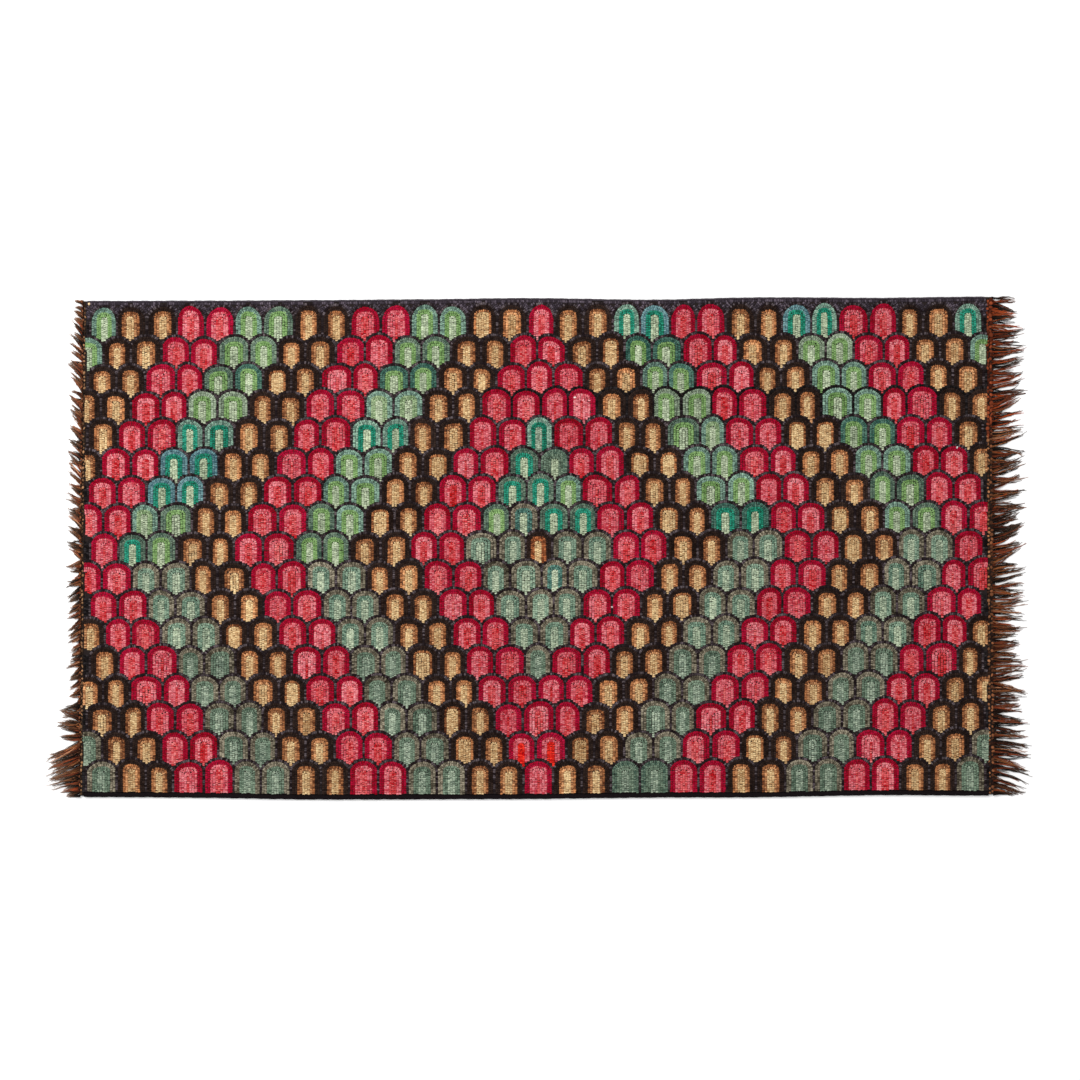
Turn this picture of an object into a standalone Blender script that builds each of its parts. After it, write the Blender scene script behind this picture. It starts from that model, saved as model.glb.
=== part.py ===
"""Hooked wool rug with a narrow binding along each long edge and a knotted fringe at each end.

The rug lies flat, hooked face up. +X runs along its length, +Y across it, +Z up. The origin is on the
underside, at the middle of the whole rug with its fringes. Lengths are in metres.
"""

import math
import random

import bmesh
import bpy

# ---------------------------------------------------------------- driving sizes

FIELD_THICKNESS = 0.0080      # foundation cloth and the wool loops that stand on it
FIELD_RELIEF = 0.0005         # how far the loops' tops rise and fall from the mean
FIELD_COLUMNS = 32
FIELD_ROWS = 16
FIELD_RIM = 0.0022            # the loops round off towards the edge

BINDING_TOP_WIDTH = 0.0030    # seen from above, along the upper long edge
BINDING_BOTTOM_WIDTH = 0.0070
BINDING_HEIGHT = 0.0056
BINDING_ROLL = 0.0011         # the binding's rounded upper corners

HEADING_HEIGHT = 0.0034       # flat part of the knotted heading
RIB_HEIGHT = 0.0052           # crest of each column of knots
LEFT_HEADING_WIDTH = 0.0070   # one column of knots
RIGHT_HEADING_WIDTH = 0.0150  # two columns of knots

LOCKS_PER_SIDE = 80
LOCK_ROOT_SHARE = 0.70        # part of the pitch that a lock's root fills
LOCK_STEPS = 3                # lengths of yarn between root and tip
LOCK_TIP_WIDTH = 0.0014
LOCK_TIP_HEIGHT = 0.0010
SHORTEST_LOCK = 0.72          # shortest lock as a share of the fringe's reach there
LOCK_STRAY = 0.0011           # how far a tip strays from its neighbours' direction
LOCK_SEED = 21

GAP = 0.0003                  # between neighbouring pieces

# The hand-cut outline. Rows are evenly spaced from the left end of the rug to the right end.
LONG_EDGES = (
    # top_y    bottom_y
    (0.4340, -0.4376),
    (0.4344, -0.4390),
    (0.4353, -0.4421),
    (0.4368, -0.4418),
    (0.4388, -0.4411),
    (0.4361, -0.4388),
    (0.4402, -0.4381),
    (0.4393, -0.4346),
    (0.4416, -0.4354),
)
TOP_Y, BOTTOM_Y = range(2)

# The ends of the hooked face, evenly spaced from the bottom edge to the top edge.
END_EDGES = (
    # left_x   right_x
    (-0.7985, 0.7959),
    (-0.7962, 0.7920),
    (-0.7924, 0.7888),
)
LEFT_X, RIGHT_X = range(2)

# The fringes, evenly spaced from the bottom edge to the top edge: how far the locks reach from
# their heading, and how far up the tips are swept.
FRINGES = (
    # left_reach  left_sweep  right_reach  right_sweep
    (0.018, 0.004, 0.030, 0.002),
    (0.060, 0.003, 0.0535, 0.003),
    (0.027, -0.004, 0.045, 0.005),
    (0.021, -0.004, 0.040, 0.006),
    (0.021, -0.003, 0.043, 0.008),
    (0.022, -0.002, 0.046, 0.009),
    (0.022, 0.000, 0.047, 0.008),
    (0.022, 0.002, 0.044, 0.006),
    (0.022, 0.003, 0.044, 0.004),
    (0.020, 0.003, 0.048, 0.002),
    (0.012, 0.002, 0.037, -0.003),
)
LEFT_REACH, LEFT_SWEEP, RIGHT_REACH, RIGHT_SWEEP = range(4)

# Name: base colour (linear), roughness, metallic
FINISHES = {
    "hooked_wool": ((0.105, 0.036, 0.034), 0.95, 0.0),
    "black_binding": ((0.010, 0.009, 0.010), 0.85, 0.0),
    "rust_fringe": ((0.120, 0.038, 0.018), 0.90, 0.0),
}


# ---------------------------------------------------------------- the rug's outline

def table_value(rows, column, share):
    """A value of an evenly spaced table at a share from 0 to 1, on a smooth curve through its rows."""
    spans = len(rows) - 1
    place = min(max(share, 0.0), 1.0) * spans
    row = min(int(place), spans - 1)
    u = place - row

    def entry(index):
        if index < 0:
            return 2 * rows[0][column] - rows[1][column]
        if index > spans:
            return 2 * rows[spans][column] - rows[spans - 1][column]
        return rows[index][column]

    before, here, after, beyond = (entry(row + step) for step in (-1, 0, 1, 2))
    slope_here = (after - before) / 2
    slope_after = (beyond - here) / 2
    return ((2 * u**3 - 3 * u**2 + 1) * here + (u**3 - 2 * u**2 + u) * slope_here
            + (3 * u**2 - 2 * u**3) * after + (u**3 - u**2) * slope_after)


def end_x(side, up):
    """The end of the hooked face at a share of the way up the rug."""
    return table_value(END_EDGES, side, up)


def face_point(along, up, trim_bottom=0.0, trim_top=0.0):
    """A point of the rug at a share along its length and across its width, between its long edges."""
    left = end_x(LEFT_X, up) + GAP / 2
    right = end_x(RIGHT_X, up) - GAP / 2
    x = left + (right - left) * along
    bottom = table_value(LONG_EDGES, BOTTOM_Y, along) + trim_bottom
    top = table_value(LONG_EDGES, TOP_Y, along) - trim_top
    return x, bottom + (top - bottom) * up


# ---------------------------------------------------------------- building helpers

def new_material(name):
    colour, roughness, metallic = FINISHES[name]
    material = bpy.data.materials.new(name)
    material.use_nodes = True
    shader = material.node_tree.nodes["Principled BSDF"]
    shader.inputs["Base Color"].default_value = (*colour, 1.0)
    shader.inputs["Roughness"].default_value = roughness
    shader.inputs["Metallic"].default_value = metallic
    material.diffuse_color = (*colour, 1.0)
    return material


def new_object(name, bm, material, collection):
    """Turns a finished bmesh into a named object of the rug."""
    bmesh.ops.recalc_face_normals(bm, faces=bm.faces)
    mesh = bpy.data.meshes.new(name)
    bm.to_mesh(mesh)
    bm.free()
    mesh.materials.append(material)
    mesh.shade_smooth()
    mesh.set_sharp_from_angle(angle=math.radians(35))
    obj = bpy.data.objects.new(name, mesh)
    collection.objects.link(obj)
    return obj


def slab(columns, rows, place):
    """A closed slab: a grid whose points take their places from place(column, row), then let down to
    a flat underside at z = 0. Returns the bmesh and the grid's points as {(column, row): vertex}."""
    bm = bmesh.new()
    bm.edges.layers.float.new("bevel_weight_edge")
    bmesh.ops.create_grid(bm, x_segments=columns, y_segments=rows, size=0.5)
    grid = {}
    for vertex in bm.verts:
        column = round((vertex.co.x + 0.5) * columns)
        row = round((vertex.co.y + 0.5) * rows)
        grid[column, row] = vertex
        vertex.co = place(column, row)
    underside = bmesh.ops.extrude_face_region(bm, geom=list(bm.faces), use_keep_orig=True)
    for item in underside["geom"]:
        if isinstance(item, bmesh.types.BMVert):
            item.co.z = 0.0
    return bm, grid


def round_edges(bm, obj_name, edges_to_round, material, collection, width):
    """Makes the object and rounds the given edges with a weighted Bevel."""
    weights = bm.edges.layers.float["bevel_weight_edge"]
    for edge in edges_to_round:
        edge[weights] = 1.0
    obj = new_object(obj_name, bm, material, collection)
    bevel = obj.modifiers.new("rounded rim", "BEVEL")
    bevel.limit_method = "WEIGHT"
    bevel.width = width
    bevel.segments = 2
    return obj


# ---------------------------------------------------------------- hooked field

def loop_top(x, y):
    """Height of the hooked face: long shallow waves, as hand-pulled loops leave them."""
    wave = (math.sin(9.0 * x + 2.2 * math.sin(6.0 * y)) + math.sin(13.0 * y + 1.7 * math.cos(7.0 * x))) / 2
    return FIELD_THICKNESS + FIELD_RELIEF * wave


def build_field(material, collection):
    def place(column, row):
        x, y = face_point(column / FIELD_COLUMNS, row / FIELD_ROWS,
                          BINDING_BOTTOM_WIDTH + GAP, BINDING_TOP_WIDTH + GAP)
        return x, y, loop_top(x, y)

    bm, grid = slab(FIELD_COLUMNS, FIELD_ROWS, place)
    rim_points = {vertex for (column, row), vertex in grid.items()
                  if column in (0, FIELD_COLUMNS) or row in (0, FIELD_ROWS)}
    rim_edges = [edge for edge in bm.edges
                 if all(vertex in rim_points for vertex in edge.verts)
                 and any(len(face.verts) == 4 and not is_level(face) for face in edge.link_faces)]
    return round_edges(bm, "hooked_field", rim_edges, material, collection, FIELD_RIM)


def is_level(face):
    """True for a face of the top or the underside."""
    face.normal_update()
    return abs(face.normal.z) > 0.5


# ---------------------------------------------------------------- bindings

def build_binding(name, width, up, material, collection):
    """A rolled strip along one long edge: up is 0 for the bottom edge and 1 for the top edge."""
    inward = width if up == 0 else -width

    def place(column, row):
        x, outer_y = face_point(column / FIELD_COLUMNS, up)
        at_outer_side = (row == 0) == (up == 0)
        return x, outer_y if at_outer_side else outer_y + inward, BINDING_HEIGHT

    bm, grid = slab(FIELD_COLUMNS, 1, place)
    crest_points = set(grid.values())
    crest_edges = [edge for edge in bm.edges
                   if all(vertex in crest_points for vertex in edge.verts)
                   and any(not is_level(face) for face in edge.link_faces)]
    return round_edges(bm, name, crest_edges, material, collection, BINDING_ROLL)


# ---------------------------------------------------------------- fringes

def heading_profile(width, ribs):
    """The heading's top from the rug outwards, as (distance, height): a crest for each knot column."""
    points = [(0.0, HEADING_HEIGHT)]
    for rib in range(ribs):
        points.append((width * (rib + 0.5) / ribs, RIB_HEIGHT))
        points.append((width * (rib + 1) / ribs, HEADING_HEIGHT))
    return points


def cell_share(cell):
    """Start of a cell of the heading, as a share of its height. Odd cells carry the locks' roots and
    even cells the gaps between them, with half a gap at each end."""
    lock, is_root = divmod(cell, 2)
    if cell == 0:
        return 0.0
    if cell == 2 * LOCKS_PER_SIDE + 1:
        return 1.0
    half_gap = (1 - LOCK_ROOT_SHARE) / 2
    start = lock + half_gap if is_root else lock - half_gap
    return start / LOCKS_PER_SIDE


def grow_lock(bm, root, outward, reach, sweep, rise):
    """Draws one lock out of its root face in steps, ever narrower, with its underside at z = 0."""
    centre_y = root.calc_center_median().y
    start_x = root.calc_center_median().x
    half_width = max(vertex.co.y for vertex in root.verts) - centre_y
    face = root
    for step in range(1, LOCK_STEPS + 1):
        share = step / LOCK_STEPS
        drawn = bmesh.ops.extrude_discrete_faces(bm, faces=[face])
        face = drawn["faces"][0]
        narrow = (1 - share) ** 0.8
        width = LOCK_TIP_WIDTH / 2 + (half_width - LOCK_TIP_WIDTH / 2) * narrow
        height = LOCK_TIP_HEIGHT + (HEADING_HEIGHT - LOCK_TIP_HEIGHT) * narrow
        middle_y = centre_y + sweep * share ** rise
        previous_y = face.calc_center_median().y
        for vertex in face.verts:
            side = 1 if vertex.co.y > previous_y else -1
            above = vertex.co.z > 0
            vertex.co = (start_x + outward * reach * share,
                         middle_y + side * width * (0.6 if above else 1.0),
                         height if above else 0.0)


def build_fringe(name, side, width, ribs, reach_column, sweep_column, material, collection):
    outward = 1 if side == RIGHT_X else -1
    along = 1.0 if side == RIGHT_X else 0.0
    bottom = table_value(LONG_EDGES, BOTTOM_Y, along)
    top = table_value(LONG_EDGES, TOP_Y, along)
    profile = heading_profile(width, ribs)
    cells = 2 * LOCKS_PER_SIDE + 1

    def place(column, row):
        distance, height = profile[column]
        share = cell_share(row)
        x = end_x(side, share) + outward * (GAP / 2 + distance)
        return x, bottom + (top - bottom) * share, height

    bm, grid = slab(len(profile) - 1, cells, place)
    draw = random.Random(LOCK_SEED + side)
    for lock in range(LOCKS_PER_SIDE):
        corners = [grid[len(profile) - 1, 2 * lock + 1], grid[len(profile) - 1, 2 * lock + 2]]
        shared_edge = bm.edges.get(corners)
        root = next(face for face in shared_edge.link_faces if not is_level(face))
        share = (lock + 0.5) / LOCKS_PER_SIDE
        length = table_value(FRINGES, reach_column, share)
        length *= draw.uniform(SHORTEST_LOCK, 1.0)
        sweep = table_value(FRINGES, sweep_column, share) + draw.uniform(-LOCK_STRAY, LOCK_STRAY)
        grow_lock(bm, root, outward, length, sweep, draw.uniform(1.0, 1.8))
    return new_object(name, bm, material, collection)


# ---------------------------------------------------------------- the rug

def main():
    for obj in list(bpy.data.objects):
        bpy.data.objects.remove(obj, do_unlink=True)
    rug = bpy.data.collections.new("hooked_rug")
    bpy.context.scene.collection.children.link(rug)

    wool = new_material("hooked_wool")
    tape = new_material("black_binding")
    yarn = new_material("rust_fringe")

    build_field(wool, rug)
    build_binding("binding_top", BINDING_TOP_WIDTH, 1, tape, rug)
    build_binding("binding_bottom", BINDING_BOTTOM_WIDTH, 0, tape, rug)
    build_fringe("fringe_left", LEFT_X, LEFT_HEADING_WIDTH, 1, LEFT_REACH, LEFT_SWEEP, yarn, rug)
    build_fringe("fringe_right", RIGHT_X, RIGHT_HEADING_WIDTH, 2, RIGHT_REACH, RIGHT_SWEEP, yarn, rug)


main()
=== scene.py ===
# %% [markdown]
# # A hooked wool rug, made loop by loop
#
# The rug is a piece of burlap through which strips of wool have been pulled with a hook. Each pull leaves
# one loop standing on the face, and about a hundred thousand of them make the pattern of scales, or fans,
# that lie over each other like roof tiles. A narrow cotton tape binds each long edge, dark grey above and
# black below, and each short end has a knotted heading with a fringe.
#
# This lesson dresses the rug's plain solids. It goes from the camera to the light, then from the outline
# to the pattern, to the yarns, and last to the loops, the tape, the knots and the fringe. All lengths are
# in metres. +X runs along the rug, +Y across it and +Z up.

# %% Load the rug's solids
import random

import bmesh
import bpy
import numpy as np
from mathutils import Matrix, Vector, kdtree


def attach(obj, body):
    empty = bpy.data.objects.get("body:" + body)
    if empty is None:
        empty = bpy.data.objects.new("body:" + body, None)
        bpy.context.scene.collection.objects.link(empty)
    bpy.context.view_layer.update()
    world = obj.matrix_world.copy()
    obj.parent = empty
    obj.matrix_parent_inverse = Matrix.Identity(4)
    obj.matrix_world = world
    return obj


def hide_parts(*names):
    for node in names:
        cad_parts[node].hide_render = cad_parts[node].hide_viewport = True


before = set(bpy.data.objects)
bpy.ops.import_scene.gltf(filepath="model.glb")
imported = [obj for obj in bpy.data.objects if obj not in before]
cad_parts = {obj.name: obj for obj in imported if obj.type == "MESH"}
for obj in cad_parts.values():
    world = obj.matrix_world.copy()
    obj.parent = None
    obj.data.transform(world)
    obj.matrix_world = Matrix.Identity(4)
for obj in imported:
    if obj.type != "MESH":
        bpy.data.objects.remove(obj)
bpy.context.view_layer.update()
print("solids:", sorted(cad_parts))

# %% [markdown]
# ## The camera
#
# The photograph was taken from straight above, so the camera looks down along -Z. A camera in Blender
# already looks that way when it isn't turned. One pixel of the photograph covers 1.76 mm of rug, which
# gives the width of the view, and the lens then gives the height. A long lens keeps the loops at the
# rug's ends from leaning outwards in the picture.

# %% Camera
PHOTO_SIDE = 1080  # pixels along each side of the photograph
PIXEL = 0.0017608  # rug seen by one pixel
VIEW_CENTRE = (0.0053, 0.0132)  # the point of the rug under the middle of the picture
LENS = 85.0  # millimetres, on a sensor 36 mm wide
SENSOR = 36.0
FACE_HEIGHT = 0.0080  # the hooked face above the floor


def placed(name, data):
    """A new object in the scene, at the origin."""
    obj = bpy.data.objects.new(name, data)
    bpy.context.scene.collection.objects.link(obj)
    return obj


view_width = PHOTO_SIDE * PIXEL
camera_height = FACE_HEIGHT + view_width * LENS / SENSOR
camera_data = bpy.data.cameras.new("camera")
camera_data.lens = LENS
camera_data.sensor_width = SENSOR
camera = placed("camera", camera_data)
camera.location = (*VIEW_CENTRE, camera_height)
bpy.context.scene.camera = camera
print(f"view {view_width:.3f} m wide, camera {camera_height:.2f} m up")

# %% [markdown]
# ## Light and floor
#
# The photograph has the even light of a studio: one broad soft light, and a bright room that fills the
# shadows. An area light does the first and the world's colour does the second. The broad light stands a
# little to the upper left, so that each loop has a lit side and a shaded one. The floor is a plain white
# sheet. The Standard view keeps the dyes as strong as they are, where the default view would soften them.

# %% Light and floor
ROOM_LIGHT = 0.78
KEY_POWER = 125.0
KEY_SIDE = 2.6
KEY_PLACE = Vector((-1.5, 2.0, 3.0))
FLOOR_SIDE = 9.0
FLOOR_WHITE = 0.97
FLOOR_ROUGHNESS = 0.9

scene = bpy.context.scene
scene.view_settings.view_transform = "Standard"
room = bpy.data.worlds.new("room")
room.use_nodes = True
room.node_tree.nodes["Background"].inputs["Color"].default_value = (1.0, 1.0, 1.0, 1.0)
room.node_tree.nodes["Background"].inputs["Strength"].default_value = ROOM_LIGHT
scene.world = room

key_data = bpy.data.lights.new("broad_light", "AREA")
key_data.energy = KEY_POWER
key_data.size = KEY_SIDE
key = placed("broad_light", key_data)
key.location = KEY_PLACE
key.rotation_euler = KEY_PLACE.to_track_quat("Z", "Y").to_euler()

floor_material = bpy.data.materials.new("white_floor")
floor_material.use_nodes = True
floor_shader = floor_material.node_tree.nodes["Principled BSDF"]
floor_shader.inputs["Base Color"].default_value = (FLOOR_WHITE, FLOOR_WHITE, FLOOR_WHITE, 1.0)
floor_shader.inputs["Roughness"].default_value = FLOOR_ROUGHNESS
floor_mesh = bpy.data.meshes.new("floor")
half_floor = FLOOR_SIDE / 2
corners = [(x * half_floor, y * half_floor, 0) for x, y in ((-1, -1), (1, -1), (1, 1), (-1, 1))]
floor_mesh.from_pydata(corners, [], [(0, 1, 2, 3)])
floor_mesh.materials.append(floor_material)
floor = placed("floor", floor_mesh)
print("key light", tuple(round(value, 2) for value in KEY_PLACE))

# %% [markdown]
# ## The rug's outline
#
# A rug cut and bound by hand is never a true rectangle. Its long edges wander by a few millimetres and its
# ends are not quite square. The solids were drawn from short tables of widths, one row for each station
# along an edge. The same tables stand here, because every loop has to know where the edge is. A smooth
# curve through the rows of a table gives a value at any share of the way.

# %% Outline tables
BINDING_TOP_WIDTH = 0.0030
BINDING_BOTTOM_WIDTH = 0.0070
GAP = 0.0003  # between the solids
SWELL = 0.0005  # how far the loops' tops rise and fall
# The two waves in which they do: radians a metre, size of the wave's bend, radians a metre of the bend.
SWELL_ALONG = (9.0, 2.2, 6.0)
SWELL_ACROSS = (13.0, 1.7, 7.0)

# From the left end of the rug to the right end, evenly spaced.
LONG_EDGES = (
    # top_y    bottom_y
    (0.4340, -0.4376),
    (0.4344, -0.4390),
    (0.4353, -0.4421),
    (0.4368, -0.4418),
    (0.4388, -0.4411),
    (0.4361, -0.4388),
    (0.4402, -0.4381),
    (0.4393, -0.4346),
    (0.4416, -0.4354),
)
TOP_Y, BOTTOM_Y = range(2)

# From the bottom edge to the top edge, evenly spaced.
END_EDGES = (
    # left_x   right_x
    (-0.7985, 0.7959),
    (-0.7962, 0.7920),
    (-0.7924, 0.7888),
)
LEFT_X, RIGHT_X = range(2)

# From the bottom edge to the top edge: how far the loops reach over the headings.
END_OVERHANG = (
    # left     right
    (0.0014, 0.0000),
    (0.0002, 0.0006),
    (0.0016, 0.0034),
)

print("stations along the long edges:", len(LONG_EDGES))

# %% Reading the tables


def table_value(rows, column, share):
    """Values of an evenly spaced table at shares from 0 to 1, on a smooth curve through its rows."""
    values = np.array([row[column] for row in rows])
    values = np.concatenate(([2 * values[0] - values[1]], values, [2 * values[-1] - values[-2]]))
    place = np.clip(share, 0.0, 1.0) * (len(rows) - 1)
    row = np.minimum(np.floor(place).astype(int), len(rows) - 2)
    u = place - row
    before, here, after, beyond = (values[row + step] for step in range(4))
    slope_here = (after - before) / 2
    slope_after = (beyond - here) / 2
    return ((2 * u**3 - 3 * u**2 + 1) * here + (u**3 - 2 * u**2 + u) * slope_here
            + (3 * u**2 - 2 * u**3) * after + (u**3 - u**2) * slope_after)


def long_edge(column, x):
    """The height on the picture, y, of the top or the bottom edge above a place x."""
    left, right = END_EDGES[-1] if column == TOP_Y else END_EDGES[0]
    return table_value(LONG_EDGES, column, (x - left) / (right - left))


def end_of(side):
    """An end's outward direction along the rug, and the y of its top and its bottom corner."""
    return (1.0, *LONG_EDGES[-1]) if side == RIGHT_X else (-1.0, *LONG_EDGES[0])


def end_edge(side, y):
    """The x of the hooked face's left or right end at a height y."""
    _, top, bottom = end_of(side)
    return table_value(END_EDGES, side, (y - bottom) / (top - bottom))


def pile_end(side, y):
    """The x at a height y beyond which no loop is hooked."""
    outward, top, bottom = end_of(side)
    return end_edge(side, y) + outward * table_value(END_OVERHANG, side, (y - bottom) / (top - bottom))


def face_point(along, up, trim_bottom=0.0, trim_top=0.0, overhang=0.0):
    """Points of the face at shares along its length and up its width. overhang is 1 for the pile's bed,
    which reaches over the headings, and 0 for the cloth."""
    edges = [table_value(END_EDGES, side, up) for side in (LEFT_X, RIGHT_X)]
    beyond = [overhang * table_value(END_OVERHANG, side, up) for side in (LEFT_X, RIGHT_X)]
    left = edges[LEFT_X] + GAP / 2 - beyond[LEFT_X]
    right = edges[RIGHT_X] - GAP / 2 + beyond[RIGHT_X]
    bottom = table_value(LONG_EDGES, BOTTOM_Y, along) + trim_bottom
    top = table_value(LONG_EDGES, TOP_Y, along) - trim_top
    return left + (right - left) * along, bottom + (top - bottom) * up


def loop_top(x, y):
    """Height of the loops' tops, which rise and fall in long shallow waves."""
    turn, bend, bend_turn = SWELL_ALONG
    along = np.sin(turn * x + bend * np.sin(bend_turn * y))
    turn, bend, bend_turn = SWELL_ACROSS
    across = np.sin(turn * y + bend * np.cos(bend_turn * x))
    return FACE_HEIGHT + SWELL * ((along + across) / 2)


print("face", round(float(end_edge(RIGHT_X, 0.0) - end_edge(LEFT_X, 0.0)), 3), "m long")

# %% [markdown]
# ## The scale and its hooking rows
#
# One scale of the pattern is a tile with an arched top, two inches wide and two inches high. The maker
# draws its outline on the burlap, hooks one charcoal row along it, and then fills it from the outside
# in, row inside row: two rows of the rim's yarn, two of the middle's, and the heart. So twelve rows lie
# side by side across one scale, and that sets the width of a row.
#
# Each row is a line that climbs one side, follows the arch and goes down the other side, until it meets
# the arches of the course below. Courses are set off by half a scale, as tiles are. It is easiest to
# draw all this on a perfect grid first, and to put it on the uneven rug afterwards.

# %% Scale sizes
SCALE_WIDTH = 0.0508
COURSE_RISE = 0.05002
COURSES = 17
SCALES_IN_COURSE = 31
ROWS_IN_SCALE = 12
ARCH_RADIUS = 0.0282  # of the charcoal outline's arch
FIRST_ARCH_RISE = 0.0290  # the top course has taller, rounder arches
HEART_LINE = ROWS_IN_SCALE // 2  # lines are counted inwards from the outline, which is line 0
RIM_LINES = 2  # the rim takes the first two of them
FIRST_HEART_LINE = 5  # as a rule
CORNER_POWER = 3.0  # the inner rows turn with rounded corners, more so the higher this is
CORNER_DROP = 0.6  # height of those corners, as a share of their width

row_width = SCALE_WIDTH / ROWS_IN_SCALE
half_scale = SCALE_WIDTH / 2
LOOP_PITCH = 0.0031  # from one loop to the next along a row
LINE_STEP = 0.0015  # between the points of a drawn line
ARCH_STEP = LINE_STEP * 0.7  # and where it turns over the arch
TINY = 1e-5  # keeps a width from being zero
print(f"a row is {row_width * 1000:.2f} mm wide, a loop every {LOOP_PITCH * 1000:.1f} mm")

# %% [markdown]
# A line of the scale is drawn from one quantity: how far the arch has dropped at a distance from the
# scale's middle. For the outline and the rim it comes from a circle, whose radius gets smaller by one row
# with each line inwards. The rows inside the rim turn more squarely, so theirs is a rounded corner. The
# arches of the top course are ellipses, because nothing stands above them. The sides simply run down,
# further than needed, and are cut off later where the next course begins.

# %% Lines of a scale


def arch_depth(offset, line, course):
    """How far below the outline's crest a line's arch lies, at an offset from the scale's middle."""
    if course == 1 and line <= RIM_LINES:
        wide = half_scale - row_width * line
        high = FIRST_ARCH_RISE - row_width * line
        inside = np.clip(1 - (offset / (wide + TINY)) ** 2, 0.0, 1.0)
        return FIRST_ARCH_RISE - high * np.sqrt(inside)
    if line > RIM_LINES:
        wide = half_scale - row_width * line + TINY
        inside = np.clip(1 - np.abs(offset / wide) ** CORNER_POWER, 0.0, 1.0)
        return row_width * line + CORNER_DROP * wide * (1 - inside ** (1 / CORNER_POWER))
    radius = ARCH_RADIUS - row_width * line
    return ARCH_RADIUS - np.sqrt(np.maximum(radius**2 - offset**2, 0.0))


def spaced(start, end, step):
    """Values from start to end, no further apart than step."""
    return np.linspace(start, end, max(2, int(np.ceil(abs(end - start) / step)) + 1))


def filling_line(line, course):
    """Line 1 and further in: up the left side, over the arch and down the right side. Returns offsets
    from the scale's middle and depths below its crest."""
    offset = half_scale - row_width * line
    deepest = COURSE_RISE + half_scale
    if line == HEART_LINE:
        depths = spaced(arch_depth(0.0, line, course), deepest, LINE_STEP)
        return np.zeros(len(depths)), depths
    shoulder = float(arch_depth(offset, line, course))
    side = spaced(deepest, shoulder, LINE_STEP)
    swing = spaced(-offset, offset, ARCH_STEP)[1:-1]
    offsets = np.concatenate((np.full(len(side), -offset), swing, np.full(len(side), offset)))
    depths = np.concatenate((side, arch_depth(swing, line, course), side[::-1]))
    return offsets, depths


print("the heart starts", round(float(arch_depth(0.0, HEART_LINE, 2)), 4), "m below the crest")

# %% [markdown]
# ## The maker's hand
#
# No two scales are alike. The maker drew them around a cardboard pattern, one course after another, and
# the burlap gave as the rows filled up. So each course lies a few millimetres off its even place. The
# table says by how much, at three stations along the rug, as measured on the photograph.
#
# A smooth random drift, with waves two to four scales long, is added to that, with its own waves for each
# course. It moves points by their place along the course only, so the sides of a scale stay upright and
# neighbours still share their outline. A fixed seed gives the same rug each time.

# %% Places of the courses
GRID_CENTRE_X = 0.0031
GRID_CREST_Y = 0.4305  # crest of the first course's outline, at x = 0
GRID_TILT = 0.0031  # the courses climb to the right
GRID_BOW = 0.0053  # the columns lie closer together towards the right
GRID_REACH = 0.7924
SURVEY_STATIONS = (-0.53, 0.0, 0.53)

# How far each course lies below its even place, and to the right of it, in millimetres.
COURSE_SURVEY = (
    # low at left, middle, right; aside at left, middle, right
    (2.3, 0.9, 1.4, -0.2, 3.7, -1.7),
    (6.4, 5.7, 5.1, -1.4, -1.5, -0.3),
    (5.2, 4.2, 2.6, -2.1, 2.5, -1.3),
    (2.2, -0.7, -1.1, -3.8, 2.9, -4.6),
    (1.5, 0.1, 0.7, -0.8, 3.4, -1.2),
    (3.1, 3.5, 0.5, -3.6, 0.2, -0.5),
    (2.9, 0.8, -0.6, -1.0, 3.1, -1.2),
    (0.9, 1.1, -0.4, -1.4, 0.8, 0.5),
    (2.0, 0.5, -0.4, 0.7, 1.2, 0.0),
    (3.0, 1.4, 0.7, -1.8, 2.8, 0.0),
    (2.8, 2.1, 0.3, 0.0, 1.5, 1.1),
    (1.7, 2.2, -0.1, -0.3, 0.7, 0.9),
    (1.2, 2.4, -0.9, 0.1, -1.0, 1.8),
    (2.3, 3.7, 1.0, -1.2, -4.8, 2.6),
    (0.4, 1.8, -1.0, -1.4, -1.0, 3.2),
    (1.6, 4.5, 1.0, -2.2, -4.2, 2.7),
    (2.9, 4.8, 2.0, -3.5, -1.0, 4.6),
)
print(len(COURSE_SURVEY), "courses surveyed")

# %% Drift of the hand
DRIFT_WAVES = 14
DRIFT_ALONG = 0.0016  # typical drift along the rug
DRIFT_ACROSS = 0.0014
DRIFT_LENGTHS = (1.6, 4.5)  # the waves' lengths in scales, shortest and longest
DRIFT_SEED = 7

drift_draw = np.random.default_rng(DRIFT_SEED)
drift_length = drift_draw.uniform(*DRIFT_LENGTHS, (COURSES, 2, DRIFT_WAVES)) * SCALE_WIDTH
drift_start = drift_draw.uniform(0.0, 2 * np.pi, (COURSES, 2, DRIFT_WAVES))


def drift(x, course, axis):
    """The drift of places along a course, on axis 0 along the rug and on axis 1 across it."""
    lengths, starts = drift_length[course - 1, axis], drift_start[course - 1, axis]
    waves = np.sin(np.outer(x, 2 * np.pi / lengths) + starts)
    return waves.sum(axis=1) * np.sqrt(2 / DRIFT_WAVES)


def on_rug(x, y, course):
    """Moves points of a course from the even grid to their places on the rug."""
    along = GRID_CENTRE_X + x - GRID_BOW * (x / GRID_REACH) ** 2
    survey = COURSE_SURVEY[course - 1]
    low = np.interp(along, SURVEY_STATIONS, survey[:3]) / 1000
    aside = np.interp(along, SURVEY_STATIONS, survey[3:]) / 1000
    across = y + GRID_TILT * along - low
    return along + aside + DRIFT_ALONG * drift(x, course, 0), across + DRIFT_ACROSS * drift(x, course, 1)


print("drift waves from", round(drift_length.min(), 3), "to", round(drift_length.max(), 3), "m")

# %% [markdown]
# A course's crest line runs from arch to arch over the whole rug. The rows of the course above stop where
# they come near it, which is how a tiled roof hides the lower part of each tile. So the crest line of
# each course is worked out once, with a little room above it for the outline's own loops.

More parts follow.
